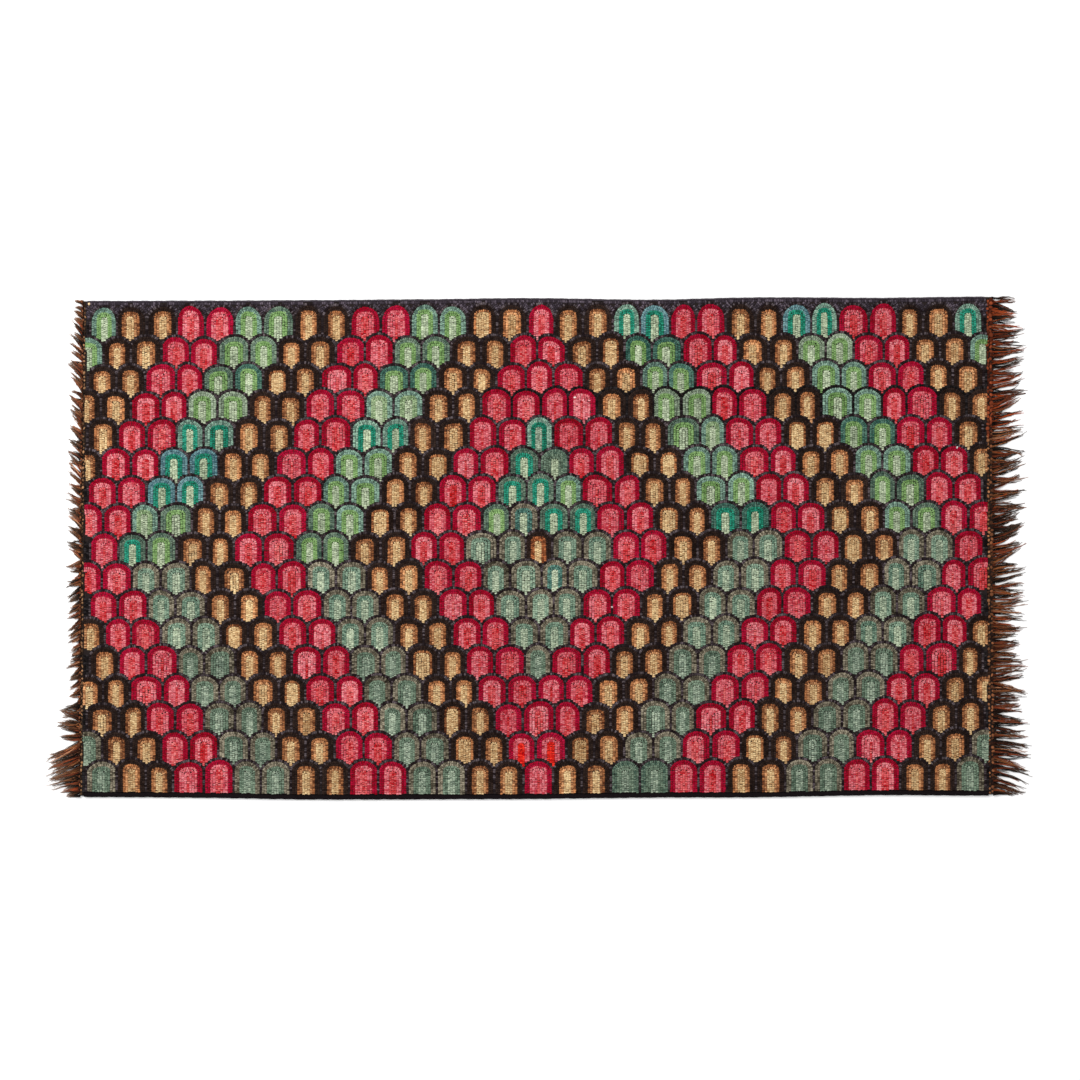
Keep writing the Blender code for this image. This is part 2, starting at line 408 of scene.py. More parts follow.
# %% Crest lines
CREST_END = 0.83  # beyond the ends of the rug
CREST_STEP = 0.001
STEEP_ROOM = 1.9  # the most that a steep outline's room is stretched

crest_grid = np.arange(-CREST_END, CREST_END, CREST_STEP)


def crest_y(course):
    """The height of a course's crests on the even grid."""
    return GRID_CREST_Y - COURSE_RISE * (course - 1)


def crest_line(course):
    """A course's outline as one line over the whole rug, and the limit for the course above it."""
    shift = 0.0 if course % 2 else half_scale
    offset = (crest_grid - shift + half_scale) % SCALE_WIDTH - half_scale
    along, across = on_rug(crest_grid, crest_y(course) - arch_depth(offset, 0, course), course)
    slope = np.gradient(across, along)
    room = (row_width + LOOP_PITCH) / 2 * np.minimum(np.sqrt(1 + slope**2), STEEP_ROOM)
    return along, across + room


crest_limits = {course: crest_line(course) for course in range(2, COURSES + 1)}
print("crest lines", len(crest_limits))

# %% [markdown]
# ## The yarns
#
# Old rugs are hooked from whatever wool was at hand. Even a plain colour is a mix of lighter and darker
# strips. So each yarn here has two colours, its deepest and its brightest, and each loop takes a random
# shade between them. The colours are written as they look in the photograph, from 0 to 255. Between the
# loops there are hollows that take away some light, so the wool itself is brighter than it looks by a
# fixed gain. Blender wants linear colours, which the conversion below gives.

# %% Yarns
HOLLOW_GAIN = 1.25

YARNS = {
    # yarn: (deepest, brightest)
    "charcoal": ((27, 18, 20), (96, 86, 89)),
    "black": ((14, 10, 10), (46, 42, 44)),
    "heather": ((48, 41, 48), (98, 88, 98)),
    "crimson": ((128, 0, 22), (158, 15, 50)),
    "rose": ((172, 50, 64), (204, 124, 130)),
    "coral": ((170, 20, 30), (202, 104, 106)),
    "vermilion": ((176, 8, 12), (228, 66, 46)),
    "dark_brown": ((27, 16, 12), (48, 35, 30)),
    "rust": ((84, 42, 24), (168, 102, 62)),
    "amber": ((92, 50, 28), (172, 116, 74)),
    "tan": ((124, 80, 50), (196, 148, 104)),
    "gold": ((164, 130, 90), (204, 180, 138)),
    "grey_teal": ((72, 96, 86), (130, 158, 141)),
    "deep_teal": ((38, 76, 66), (84, 118, 104)),
    "blue_grey": ((62, 96, 104), (112, 146, 148)),
    "moss": ((60, 82, 70), (112, 130, 112)),
    "pale_moss": ((94, 108, 90), (146, 160, 138)),
    "pale_lime": ((102, 126, 88), (150, 168, 132)),
    "lime": ((96, 127, 74), (130, 160, 106)),
    "teal": ((19, 101, 79), (47, 141, 117)),
    "sea_green": ((54, 90, 82), (104, 144, 130)),
    "celadon": ((130, 142, 118), (178, 188, 162)),
    "grey_celadon": ((122, 136, 116), (174, 184, 161)),
    "taupe": ((68, 62, 49), (140, 132, 114)),
    "light_sage": ((80, 106, 90), (134, 154, 134)),
    "sage": ((75, 92, 77), (120, 137, 118)),
    "pale_sage": ((102, 117, 102), (156, 168, 149)),
}


def linear(colour):
    """A colour from 0 to 255, as seen, made linear, from 0 to 1, by the sRGB curve."""
    share = np.array(colour) / 255
    return np.where(share <= 0.04045, share / 12.92, ((share + 0.055) / 1.055) ** 2.4)


def shades(yarn, batch=0.0):
    """The deepest and brightest shade of a yarn's own wool, in linear colour with full cover. batch moves
    both by a share of the distance between them."""
    low, high = (np.array(colour) for colour in YARNS[yarn])
    step = batch * (high - low)
    return [np.append(np.minimum(linear(np.maximum(colour + step, 0)) * HOLLOW_GAIN, 1.0), 1.0)
            for colour in (low, high)]


print(len(YARNS), "yarns")

# %% [markdown]
# ## Which scale gets which yarn
#
# The scales come in three kinds: brown with a golden heart, green, and red. Two scales side by side have
# the same kind, and each course moves the kinds on by half a scale, away from the rug's middle. That
# makes bands that run outwards as nested diamonds. So a scale's kind only needs its steps from the
# middle, counted in half scales along and in courses across.
#
# The greens changed while the rug was made: dyed lots ran out and others came in. A short chart says
# which yarn was used where. Later lines of the chart win over earlier ones.

# %% Kinds of scale and lots of green
MIDDLE_COURSE = 9
KINDS = ("brown", "green", "red")
BAND_STEPS = 4  # half scales that one kind fills before the next begins
RIM, MIDDLE, HEART = range(3)

KIND_YARNS = {
    # kind:    rim           middle   heart
    "brown": ["dark_brown", "tan", "gold"],
    "green": ["grey_teal", "lime", "celadon"],
    "red": ["crimson", "rose", "coral"],
}

# Places are counted along the course in half scales from the middle, negative to the left.
GREEN_LOTS = (
    # first_course  last_course  first_place  last_place  part    yarn
    (1, 1, -18, -18, RIM, "moss"),
    (1, 1, 8, 18, RIM, "blue_grey"),
    (2, 2, -21, -7, RIM, "moss"),
    (2, 2, 7, 9, RIM, "deep_teal"),
    (2, 2, 19, 21, RIM, "pale_moss"),
    (3, 3, -22, -22, RIM, "moss"),
    (3, 3, -20, -8, RIM, "deep_teal"),
    (3, 3, 10, 10, RIM, "deep_teal"),
    (4, 4, -23, -21, RIM, "pale_moss"),
    (4, 4, 9, 11, RIM, "pale_moss"),
    (5, 5, 10, 10, RIM, "moss"),
    (5, 5, 22, 24, RIM, "deep_teal"),
    (6, 7, -26, -23, RIM, "blue_grey"),
    (6, 7, -2, 1, RIM, "moss"),
    (7, 7, 24, 26, RIM, "moss"),
    (8, 8, -25, -15, RIM, "moss"),
    (8, 8, -3, 3, RIM, "moss"),
    (8, 8, 13, 15, RIM, "deep_teal"),
    (8, 8, 27, 27, RIM, "moss"),
    (9, 9, -28, -14, RIM, "moss"),
    (1, 1, 6, 31, MIDDLE, "teal"),
    (4, 4, -11, -9, MIDDLE, "pale_lime"),
    (5, 5, -24, 0, MIDDLE, "teal"),
    (5, 5, 12, 12, MIDDLE, "pale_lime"),
    (6, 6, -25, -23, MIDDLE, "teal"),
    (6, 6, -1, -1, MIDDLE, "teal"),
    (6, 6, 1, 1, MIDDLE, "sage"),
    (7, 7, -26, -24, MIDDLE, "teal"),
    (7, 7, -2, 0, MIDDLE, "teal"),
    (8, 8, -27, -27, MIDDLE, "pale_lime"),
    (8, 8, -1, -1, RIM, "taupe"),
    (8, 8, -1, -1, MIDDLE, "sea_green"),
    (8, 8, 1, 3, MIDDLE, "teal"),
    (8, 8, 13, 15, MIDDLE, "teal"),
    (9, 9, -28, -28, MIDDLE, "teal"),
    (5, 5, 0, 0, HEART, "pale_sage"),
    (9, 9, -4, 31, RIM, "taupe"),
    (10, 17, -31, 31, RIM, "taupe"),
    (17, 17, 6, 8, RIM, "moss"),
    (9, 9, -4, 31, MIDDLE, "light_sage"),
    (10, 12, -31, 31, MIDDLE, "light_sage"),
    (10, 10, 1, 1, MIDDLE, "sea_green"),
    (13, 17, -31, 31, MIDDLE, "sage"),
    (9, 9, -4, 31, HEART, "grey_celadon"),
    (10, 12, -31, 31, HEART, "grey_celadon"),
    (13, 17, -31, 31, HEART, "pale_sage"),
)


def kind_of(place, course):
    """The kind of the scale at a place along its course, in half scales from the middle."""
    steps = abs(place) + abs(course - MIDDLE_COURSE)
    return KINDS[(steps + BAND_STEPS // 2) // BAND_STEPS % len(KINDS)]


def yarns_of(place, course):
    """The rim's, the middle's and the heart's yarn of a scale."""
    kind = kind_of(place, course)
    yarns = list(KIND_YARNS[kind])
    if kind == "green":
        for first_course, last_course, first_place, last_place, part, yarn in GREEN_LOTS:
            if first_course <= course <= last_course and first_place <= place <= last_place:
                yarns[part] = yarn
    if place == 0 and course == MIDDLE_COURSE:
        yarns[MIDDLE] = "rust"
    if abs(place) == 1 and course == COURSES - 1:
        yarns[HEART] = "vermilion"
    return yarns


for course in (1, MIDDLE_COURSE, COURSES):
    print(course, " ".join(kind_of(place, course)[0] for place in range(-30, 31, 2)))

# %% [markdown]
# ## Drawing the whole face
#
# Now every line is drawn and sorted into bundles by the wool it takes. A bundle becomes one piece of the
# finished rug. A line remembers the deepest and the brightest shade of its yarn. The maker was not strict
# about the rows. In some brown scales the gold starts one row earlier, and in some others the heart is
# one row narrower, so a small random draw for each scale decides that.

# %% Bundles of lines
BATCH_STRAY = 0.13  # how far the dye of one scale's yarn is off, as a share of its range
GOLD_EARLY = 0.10  # share of brown scales with a wider heart
HEART_NARROW = 0.25  # share of red scales with a heart of one row
ROOM_ABOVE = 0.30  # a row's middle stays this far below the upper tape, in rows,
ROOM_BELOW = 0.40  # and this far above the lower one, in loops
SHORTEST_RUN = 3  # points of a line that can carry a loop
BLACK_COURSE, BLACK_FROM = 4, -3  # the course whose outlines turn black, and the place where they do

BUNDLES = {
    "outline_loops": ("charcoal", "black", "heather"),
    "crimson_loops": ("crimson",),
    "rose_loops": ("rose", "coral", "vermilion"),
    "dark_brown_loops": ("dark_brown",),
    "gold_loops": ("rust", "amber", "tan", "gold"),
    "green_rim_loops": ("grey_teal", "deep_teal", "blue_grey", "moss", "pale_moss", "taupe"),
    "green_heart_loops": ("lime", "pale_lime", "teal", "sea_green", "celadon", "grey_celadon",
                          "light_sage", "sage", "pale_sage"),
}
bundle_of = {yarn: name for name, yarns in BUNDLES.items() for yarn in yarns}
bundles = {name: [] for name in BUNDLES}


def inside_face(x, y):
    """True for the points where a loop has room inside the bindings and the headings."""
    return ((x > pile_end(LEFT_X, y)) & (x < pile_end(RIGHT_X, y))
            & (y < long_edge(TOP_Y, x) - BINDING_TOP_WIDTH - row_width * ROOM_ABOVE)
            & (y > long_edge(BOTTOM_Y, x) + BINDING_BOTTOM_WIDTH + LOOP_PITCH * ROOM_BELOW))


def runs(points, wanted):
    """The stretches of a line whose points are all wanted, if they are long enough for a loop."""
    ends = np.flatnonzero(np.diff(np.concatenate(([0], wanted.astype(int), [0]))))
    return [points[first:last] for first, last in zip(ends[::2], ends[1::2])
            if last - first >= SHORTEST_RUN]


def lay_line(yarn, x, y, course, batch=0.0):
    """Puts a line of a course on the rug and adds what lies on the face to its bundle."""
    along, across = on_rug(x, y, course)
    seen = inside_face(along, across)
    if course < COURSES:
        seen &= across > np.interp(along, *crest_limits[course + 1])
    points = np.column_stack((along, across))
    kept = runs(points, seen)
    bundles[bundle_of[yarn]] += [(yarn, batch, stretch) for stretch in kept]
    return kept


def places_in(course):
    """The places of a course's scales. Every second course starts and ends with half a scale."""
    outermost = SCALES_IN_COURSE - 1 if course % 2 else SCALES_IN_COURSE
    return range(-outermost, outermost + 1, 2)


def outline_yarn(course, place):
    """Most outlines are charcoal. The fourth course changes to black about halfway along."""
    return "black" if course == BLACK_COURSE and place >= BLACK_FROM else "charcoal"


print("half scales at the ends of course 2:", places_in(2)[0], places_in(2)[-1])

# %% Fill every scale
SCALE_SEED = 11
scale_draw = random.Random(SCALE_SEED)


def lay_scale(course, place):
    """Lays the filling rows of one scale."""
    middle_x, top_y = place * half_scale, crest_y(course)
    yarns, kind = yarns_of(place, course), kind_of(place, course)
    batches = [scale_draw.gauss(0.0, BATCH_STRAY) for part in (RIM, MIDDLE, HEART)]
    first_heart_line = FIRST_HEART_LINE
    if kind == "brown" and scale_draw.random() < GOLD_EARLY:
        first_heart_line -= 1
    if kind == "red" and scale_draw.random() < HEART_NARROW:
        first_heart_line += 1
    for line in range(1, HEART_LINE + 1):
        part = RIM if line <= RIM_LINES else MIDDLE if line < first_heart_line else HEART
        yarn = yarns[part]
        if yarn == "tan" and line == RIM_LINES + 1:
            yarn = "amber"
        offsets, depths = filling_line(line, course)
        lay_line(yarn, middle_x + offsets, top_y - depths, course, batches[part])


for course in range(1, COURSES + 1):
    for place in places_in(course):
        lay_scale(course, place)
print({name: len(lines) for name, lines in bundles.items()})

# %% [markdown]
# The charcoal outline is shared. Each scale lays its own arch, and one upright line stands between two
# neighbours, from the notch where their arches meet down to the crest of the course below. At the rug's
# ends a few extra upright rows fill the strip beside the last scale.

# %% Lay the outlines
NOTCH = half_scale - row_width * 0.28  # an arch stops short of its neighbour's
NOTCH_DROP = LOOP_PITCH * 0.3  # from where they meet to the upright's first point
END_ROWS = 3  # spare rows beside the last scale of a course


def lay_upright(course, x, yarn):
    """An upright outline row between two scales of a course."""
    notch_depth = float(arch_depth(half_scale, 0, course)) + NOTCH_DROP
    depths = spaced(notch_depth, COURSE_RISE + LOOP_PITCH, LINE_STEP)
    lay_line(yarn, np.full(len(depths), x), crest_y(course) - depths, course)


first_course_lines = []
for course in range(1, COURSES + 1):
    places = places_in(course)
    for place in places:
        offsets = spaced(-NOTCH, NOTCH, LINE_STEP)
        arch_y = crest_y(course) - arch_depth(offsets, 0, course)
        laid = lay_line(outline_yarn(course, place), place * half_scale + offsets, arch_y, course)
        if course == 1:
            first_course_lines += laid
    for place in range(places[0] - 1, places[-1] + 2, 2):
        lay_upright(course, place * half_scale, outline_yarn(course, place))
    if course % 2:
        for spare in range(1, END_ROWS + 1):
            beside = SCALES_IN_COURSE * half_scale + row_width * spare
            lay_upright(course, -beside, "black")
            lay_upright(course, beside, "black")
print(len(bundles["outline_loops"]), "outline lines")

# %% [markdown]
# Above the first course lies the ground, hooked in a dark heather wool. One row follows the top edge, and
# further rows echo the arches and fill the deep notches between them. Only the first and the last scale
# have echoes that run down past their sides. A new row may only lie where no row lies yet. A k-d tree is
# a quick way to ask how near the closest earlier point is.

# %% Fill the ground above the first course
ECHO_ROWS = 6
ROOM_BETWEEN_ROWS = 0.80  # of a row's width
EDGE_ROW = 0.52  # from the tape to the middle of the first row, in rows
ECHO_END = 0.98  # share of an echo's half width drawn at the rug's ends


def lay_where_free(points, laid):
    """Keeps the stretches of a line that lie on the face and clear of the lines already laid."""
    tree = kdtree.KDTree(sum(len(line) for line in laid))
    for number, point in enumerate(np.concatenate(laid)):
        tree.insert((*point, 0.0), number)
    tree.balance()
    room = row_width * ROOM_BETWEEN_ROWS
    free = np.array([tree.find((*point, 0.0))[2] > room for point in points])
    kept = runs(points, free & inside_face(points[:, 0], points[:, 1]))
    bundles["outline_loops"] += [("heather", 0.0, stretch) for stretch in kept]
    return kept


edge_x = spaced(END_EDGES[-1][LEFT_X], END_EDGES[-1][RIGHT_X], LINE_STEP)
edge_y = long_edge(TOP_Y, edge_x) - BINDING_TOP_WIDTH - row_width * EDGE_ROW
ground_lines = lay_where_free(np.column_stack((edge_x, edge_y)), first_course_lines)
for echo in range(1, ECHO_ROWS + 1):
    wide, high = half_scale + row_width * echo, FIRST_ARCH_RISE + row_width * echo
    for place in places_in(1):
        to_left = wide * ECHO_END if place == places_in(1)[0] else half_scale
        to_right = wide * ECHO_END if place == places_in(1)[-1] else half_scale
        offsets = spaced(-to_left, to_right, LINE_STEP)
        echo_y = crest_y(1) - FIRST_ARCH_RISE + high * np.sqrt(1 - (offsets / wide) ** 2)
        along, across = on_rug(place * half_scale + offsets, echo_y, 1)
        ground_lines += lay_where_free(np.column_stack((along, across)), first_course_lines + ground_lines)
print(len(ground_lines), "ground lines")

# %% [markdown]
# ## One tree that sets things along lines
#
# Loops and knots have one thing in common: a small shape is set again and again along a line, turned to
# follow it, and each a little different. One Geometry Nodes tree does both. It turns the drawn edges into
# curves, puts points on them at an even pitch, and sets one small shape on each point. Its inputs are the
# sizes in metres, so the same tree makes a loop of 3 mm or a knot of 5 mm. Each copy takes a random shade
# between its line's deepest and brightest colour, and keeps it as an attribute named dye, which the
# material reads later. Flecks is a power: at 1 all shades are as common, and at 3 most copies are deep
# and a few are bright. The tree ends in real geometry with its material on.

# %% Helpers for node trees


def node(tree, kind, inputs=None, **settings):
    """Adds a node, sets it up, and links or fills its inputs, named by name or by number."""
    made = tree.nodes.new(kind)
    for name, value in settings.items():
        setattr(made, name, value)
    for socket, value in (inputs or {}).items():
        if isinstance(value, bpy.types.NodeSocket):
            tree.links.new(value, made.inputs[socket])
        else:
            made.inputs[socket].default_value = value
    return made


def output(tree, kind, inputs=None, **settings):
    """Adds a node in the same way and returns its first output."""
    return node(tree, kind, inputs, **settings).outputs[0]


def maths(tree, operation, *values):
    """One Math node, for short formulas."""
    return output(tree, "ShaderNodeMath", dict(enumerate(values)), operation=operation)


def vector_maths(tree, operation, *values):
    """One Vector Math node. For SCALE the second value is the factor."""
    inputs = {0: values[0], "Scale" if operation == "SCALE" else 1: values[1]}
    return output(tree, "ShaderNodeVectorMath", inputs, operation=operation)


def ranged(tree, value, start, end, low, high):
    """Carries a value that runs from start to end over to the range from low to high."""
    return output(tree, "ShaderNodeMapRange", {0: value, 1: start, 2: end, 3: low, 4: high})


def new_tree(name, sockets):
    """A Geometry Nodes tree with the given inputs, as (name, kind of socket), and a geometry output."""
    tree = bpy.data.node_groups.new(name, "GeometryNodeTree")
    tree.interface.new_socket("Geometry", in_out="INPUT", socket_type="NodeSocketGeometry")
    for label, kind in sockets:
        tree.interface.new_socket(label, in_out="INPUT", socket_type="NodeSocket" + kind)
    tree.interface.new_socket("Geometry", in_out="OUTPUT", socket_type="NodeSocketGeometry")
    return tree, tree.nodes.new("NodeGroupInput").outputs


def random_between(tree, low, high, seed, step, vector=False, number=None):
    """A random value for each element. step sets apart the draws that share a seed."""
    own_seed = output(tree, "FunctionNodeIntegerMath", {0: seed, 1: step}, operation="ADD")
    kind, first = ("FLOAT_VECTOR", 0) if vector else ("FLOAT", 2)
    inputs = {first: low, first + 1: high, "Seed": own_seed}
    if number is not None:
        inputs["ID"] = number
    drawn = node(tree, "FunctionNodeRandomValue", inputs, data_type=kind)
    return drawn.outputs[0 if vector else 1]


def mixed_dye(tree, share):
    """The colour at a share of the way from the line's deepest shade to its brightest."""
    mix = node(tree, "ShaderNodeMix", data_type="RGBA")
    tree.links.new(share, mix.inputs["Factor"])
    for socket, name in ((6, "deepest"), (7, "brightest")):
        shade = output(tree, "GeometryNodeInputNamedAttribute", {"Name": name}, data_type="FLOAT_COLOR")
        tree.links.new(shade, mix.inputs[socket])
    return mix.outputs[2]


print("helpers for trees ready")

# %% The tree itself
ALONG_INPUTS = (
    ("Pitch", "Float"), ("Length", "Float"), ("Width", "Float"), ("Height", "Float"),
    ("Unevenness", "Float"), ("Lean", "Float"), ("Stray", "Float"), ("Flecks", "Float"),
    ("Shape", "Object"), ("Material", "Material"), ("Seed", "Int"),
)


def stored_dye(tree, geometry, colour, domain):
    """Keeps a colour on the geometry as the attribute dye."""
    inputs = {"Geometry": geometry, "Name": "dye", "Value": colour}
    return output(tree, "GeometryNodeStoreNamedAttribute", inputs, data_type="FLOAT_COLOR", domain=domain)


def finish_tree(tree, geometry, material):
    """Makes the geometry real, drops the lines' attributes, sets the material and ends the tree."""
    geometry = output(tree, "GeometryNodeRealizeInstances", {"Geometry": geometry})
    for name in ("deepest", "brightest"):
        geometry = output(tree, "GeometryNodeRemoveAttribute", {"Geometry": geometry, "Name": name})
    coated = output(tree, "GeometryNodeSetMaterial", {"Geometry": geometry, "Material": material})
    ending = tree.nodes.new("NodeGroupOutput")
    tree.links.new(coated, ending.inputs[0])
    return tree


def build_along_tree():
    """The tree that sets a shape along lines, evenly spaced and slightly irregular."""
    tree, given = new_tree("set_along_lines", ALONG_INPUTS)
    seed = given["Seed"]

    def either_way(name, step):
        """A random vector that goes as far as an input says, to either side."""
        furthest_back = maths(tree, "MULTIPLY", given[name], -1.0)
        return random_between(tree, furthest_back, given[name], seed, step, vector=True)

    curve = output(tree, "GeometryNodeMeshToCurve", {"Mesh": given["Geometry"]})
    points = output(tree, "GeometryNodeResampleCurve", {"Curve": curve, "Length": given["Pitch"]},
                    mode="LENGTH")
    turned = output(tree, "FunctionNodeAlignRotationToVector",
                    {"Vector": output(tree, "GeometryNodeInputTangent")}, axis="X", pivot_axis="Z")
    leaning = output(tree, "FunctionNodeRotateRotation",
                     {"Rotation": turned, "Rotate By": either_way("Lean", 1)}, rotation_space="LOCAL")
    size = output(tree, "ShaderNodeCombineXYZ",
                  {"X": given["Length"], "Y": given["Width"], "Z": given["Height"]})
    smallest = maths(tree, "SUBTRACT", 1.0, given["Unevenness"])
    largest = maths(tree, "ADD", 1.0, given["Unevenness"])
    factor = random_between(tree, smallest, largest, seed, 2, vector=True)
    uneven = vector_maths(tree, "MULTIPLY", size, factor)
    stray = either_way("Stray", 3)
    strayed = output(tree, "GeometryNodeSetPosition", {"Geometry": points, "Offset": stray})
    shape = node(tree, "GeometryNodeObjectInfo", {"Object": given["Shape"], "As Instance": True})
    copies = output(tree, "GeometryNodeInstanceOnPoints",
                    {"Points": strayed, "Instance": shape.outputs["Geometry"],
                     "Rotation": leaning, "Scale": uneven})
    share = maths(tree, "POWER", random_between(tree, 0.0, 1.0, seed, 4), given["Flecks"])
    dyed = stored_dye(tree, copies, mixed_dye(tree, share), "INSTANCE")
    return finish_tree(tree, dyed, given["Material"])


along_tree = build_along_tree()
print("tree with", len(along_tree.nodes), "nodes")

# %% [markdown]
# ## From lines to a finished mesh
#
# The lines become a mesh of edges, with the two shades stored on its points. The modifier's inputs are set
# by the sockets' identifiers before Blender evaluates the object for the first time. new_from_object then
# gives a plain mesh, and the edge mesh and its modifier are deleted. A flat map that looks down on the
# rug is added, which is all that a face seen from above needs.

# %% Helpers for meshes
FACE_LENGTH = 1.6  # covered by the flat map
FACE_WIDTH = 0.9
pieces = {}


def new_piece(name, mesh):
    """A piece of the rug, kept in the list of pieces."""
    mesh.name = name
    pieces[name] = placed(name, mesh)
    return pieces[name]


def closed_piece(name, bm, material, sharp_angle=None):
    """Makes a bmesh a smooth piece with its faces outwards. Edges that turn by more than sharp_angle stay
    sharp."""
    bmesh.ops.recalc_face_normals(bm, faces=bm.faces)
    mesh = bpy.data.meshes.new(name)
    bm.to_mesh(mesh)
    bm.free()
    mesh.materials.append(material)
    mesh.shade_smooth()
    if sharp_angle:
        mesh.set_sharp_from_angle(angle=sharp_angle)
    return new_piece(name, mesh)


def line_object(name, lines):
    """An object of bare edges. lines holds, for each line, its points and its two shades."""
    counts = [len(points) for points, _ in lines]
    starts = np.cumsum([0] + counts[:-1])
    edges = np.concatenate([np.stack((np.arange(count - 1), np.arange(1, count)), 1) + start
                            for count, start in zip(counts, starts)])
    mesh = bpy.data.meshes.new(name)
    mesh.from_pydata(np.concatenate([points for points, _ in lines]).tolist(), edges.tolist(), [])
    for number, shade in enumerate(("deepest", "brightest")):
        colours = np.concatenate([np.tile(pair[number], (len(points), 1)) for points, pair in lines])
        attribute = mesh.attributes.new(shade, "FLOAT_COLOR", "POINT")
        attribute.data.foreach_set("color", colours.astype(np.float32).ravel())
    return placed(name, mesh)


def grown_piece(name, lines, tree, values):
    """Runs a tree on lines and keeps the result as a plain mesh. The object of the lines is deleted."""
    source = line_object(name + "_lines", lines)
    modifier = source.modifiers.new(tree.name, "NODES")
    modifier.node_group = tree
    for item in tree.interface.items_tree:
        if item.in_out == "INPUT" and item.name in values:
            modifier[item.identifier] = values[item.name]
    source.update_tag()
    bpy.context.view_layer.update()
    evaluated = source.evaluated_get(bpy.context.evaluated_depsgraph_get())
    mesh = bpy.data.meshes.new_from_object(evaluated)
    old_mesh = source.data
    bpy.data.objects.remove(source)
    bpy.data.meshes.remove(old_mesh)
    return new_piece(name, mesh)


def add_flat_map(mesh):
    """A map that looks straight down on the rug."""
    places = np.empty(len(mesh.vertices) * 3, np.float32)
    mesh.vertices.foreach_get("co", places)
    corners = np.empty(len(mesh.loops), np.int32)
    mesh.loops.foreach_get("vertex_index", corners)
    flat = places.reshape(-1, 3)[corners, :2] / (FACE_LENGTH, FACE_WIDTH) + 0.5
    layer = mesh.uv_layers.new(name="OFBake")
    layer.data.foreach_set("uv", flat.astype(np.float32).ravel())


print("helpers for meshes ready")

# %% [markdown]
# ## Wool
#
# Wool is dull, with a soft sheen where stray fibres catch the light at the edge of a loop. The material
# reads the loop's own dye and varies it with two noises: a broad one for wear and fading, and a fine one
# for the strands of the yarn. The fine noise also drives the bump. All of it reads Object coordinates,
# which are metres here, so a scale of 900 gives flecks of about a millimetre.
#
# Light hardly reaches the foot of a loop, where its neighbours press against it. Each small shape carries
# an attribute named crest, 0 at its foot and 1 at its top, and the wool gets darker towards the foot.
# What light there is has bounced from fibre to fibre and has taken more of their colour. If a share s of
# the light comes straight in and a colour channel reflects a share a, it shows a s / (1 - a (1 - s)). So
# the foot of a red loop is a purer red, while a black loop only gets darker.

# %% Wool material
WOOL_GLOSS = 0.06
SHEEN_ROUGHNESS = 0.45
BROAD_NOISE = 9.0  # scales, in turns a metre
FINE_NOISE = 900.0
NOISE_LOW, NOISE_HIGH = 0.3, 0.7  # between which a noise spends most of its time
FULL_LIGHT_FROM = 0.9  # of the way up a shape


def new_material(name, roughness, gloss):
    """A material, its tree, its shader and the object's own coordinates."""
    material = bpy.data.materials.new(name)
    material.use_nodes = True
    tree = material.node_tree
    shader = tree.nodes["Principled BSDF"]
    shader.inputs["Roughness"].default_value = roughness
    shader.inputs["Specular IOR Level"].default_value = gloss
    return material, tree, shader, node(tree, "ShaderNodeTexCoord").outputs["Object"]


def add_bump(tree, shader, height, strength, distance):
    """Lets a height from 0 to 1 tilt the light on a surface."""
    bump = output(tree, "ShaderNodeBump", {"Height": height, "Strength": strength, "Distance": distance})
    tree.links.new(bump, shader.inputs["Normal"])


def wool_material(name, fade=0.08, fleck=0.14, foot=1.0, roughness=0.92, sheen=0.02):
    """A wool whose colour comes from the dye attribute. fade and fleck are shares of the brightness, and
    foot is the share of the light that comes straight to the foot of a shape."""
    material, tree, shader, place = new_material(name, roughness, WOOL_GLOSS)
    shader.inputs["Sheen Weight"].default_value = sheen
    shader.inputs["Sheen Roughness"].default_value = SHEEN_ROUGHNESS
    dye = node(tree, "ShaderNodeAttribute", attribute_name="dye").outputs["Color"]
    broad = output(tree, "ShaderNodeTexNoise", {"Vector": place, "Scale": BROAD_NOISE, "Detail": 3.0})
    fine = output(tree, "ShaderNodeTexNoise", {"Vector": place, "Scale": FINE_NOISE, "Detail": 4.0})
    faded = ranged(tree, broad, NOISE_LOW, NOISE_HIGH, 1 - fade, 1 + fade)
    flecked = ranged(tree, fine, NOISE_LOW, NOISE_HIGH, 1 - fleck, 1 + fleck)
    # Painted shade: towards the foot of each shape the dye is made darker and purer in colour.
    if foot < 1.0:
        crest = node(tree, "ShaderNodeAttribute", attribute_name="crest").outputs["Fac"]
        straight = ranged(tree, crest, 0.0, FULL_LIGHT_FROM, foot, 1.0)
        bounced = vector_maths(tree, "SCALE", dye, maths(tree, "SUBTRACT", 1.0, straight))
        kept = vector_maths(tree, "SUBTRACT", (1.0, 1.0, 1.0), bounced)
        dye = vector_maths(tree, "DIVIDE", vector_maths(tree, "SCALE", dye, straight), kept)
    colour = vector_maths(tree, "SCALE", dye, maths(tree, "MULTIPLY", faded, flecked))
    tree.links.new(colour, shader.inputs["Base Color"])
    add_bump(tree, shader, fine, strength=0.5, distance=0.0006)
    return material


LOOP_FOOT = 0.44  # light that comes straight to the foot of a loop
wool = wool_material("hooked_wool_yarn", foot=LOOP_FOOT)
print("material", wool.name)

# %% [markdown]
# ## The loop
#
# Seen from above, a loop is a short round bead that lies across its row. It has to be very light, because
# there are so many: a base of four corners and a ridge of two points, six triangles in all. Smooth shading
# rounds it off. It is drawn in a box of one by one by one, and the tree scales it to its real size.

# %% Loop shape


def shape_object(name, mesh):
    """A small shape that the trees copy, with its crest attribute. It isn't a piece of the rug."""
    mesh.shade_smooth()
    heights = np.array([vertex.co.z for vertex in mesh.vertices])
    crest = (heights - heights.min()) / (heights.max() - heights.min())
    mesh.attributes.new("crest", "FLOAT", "POINT").data.foreach_set("value", crest.astype(np.float32))
    return placed(name, mesh)


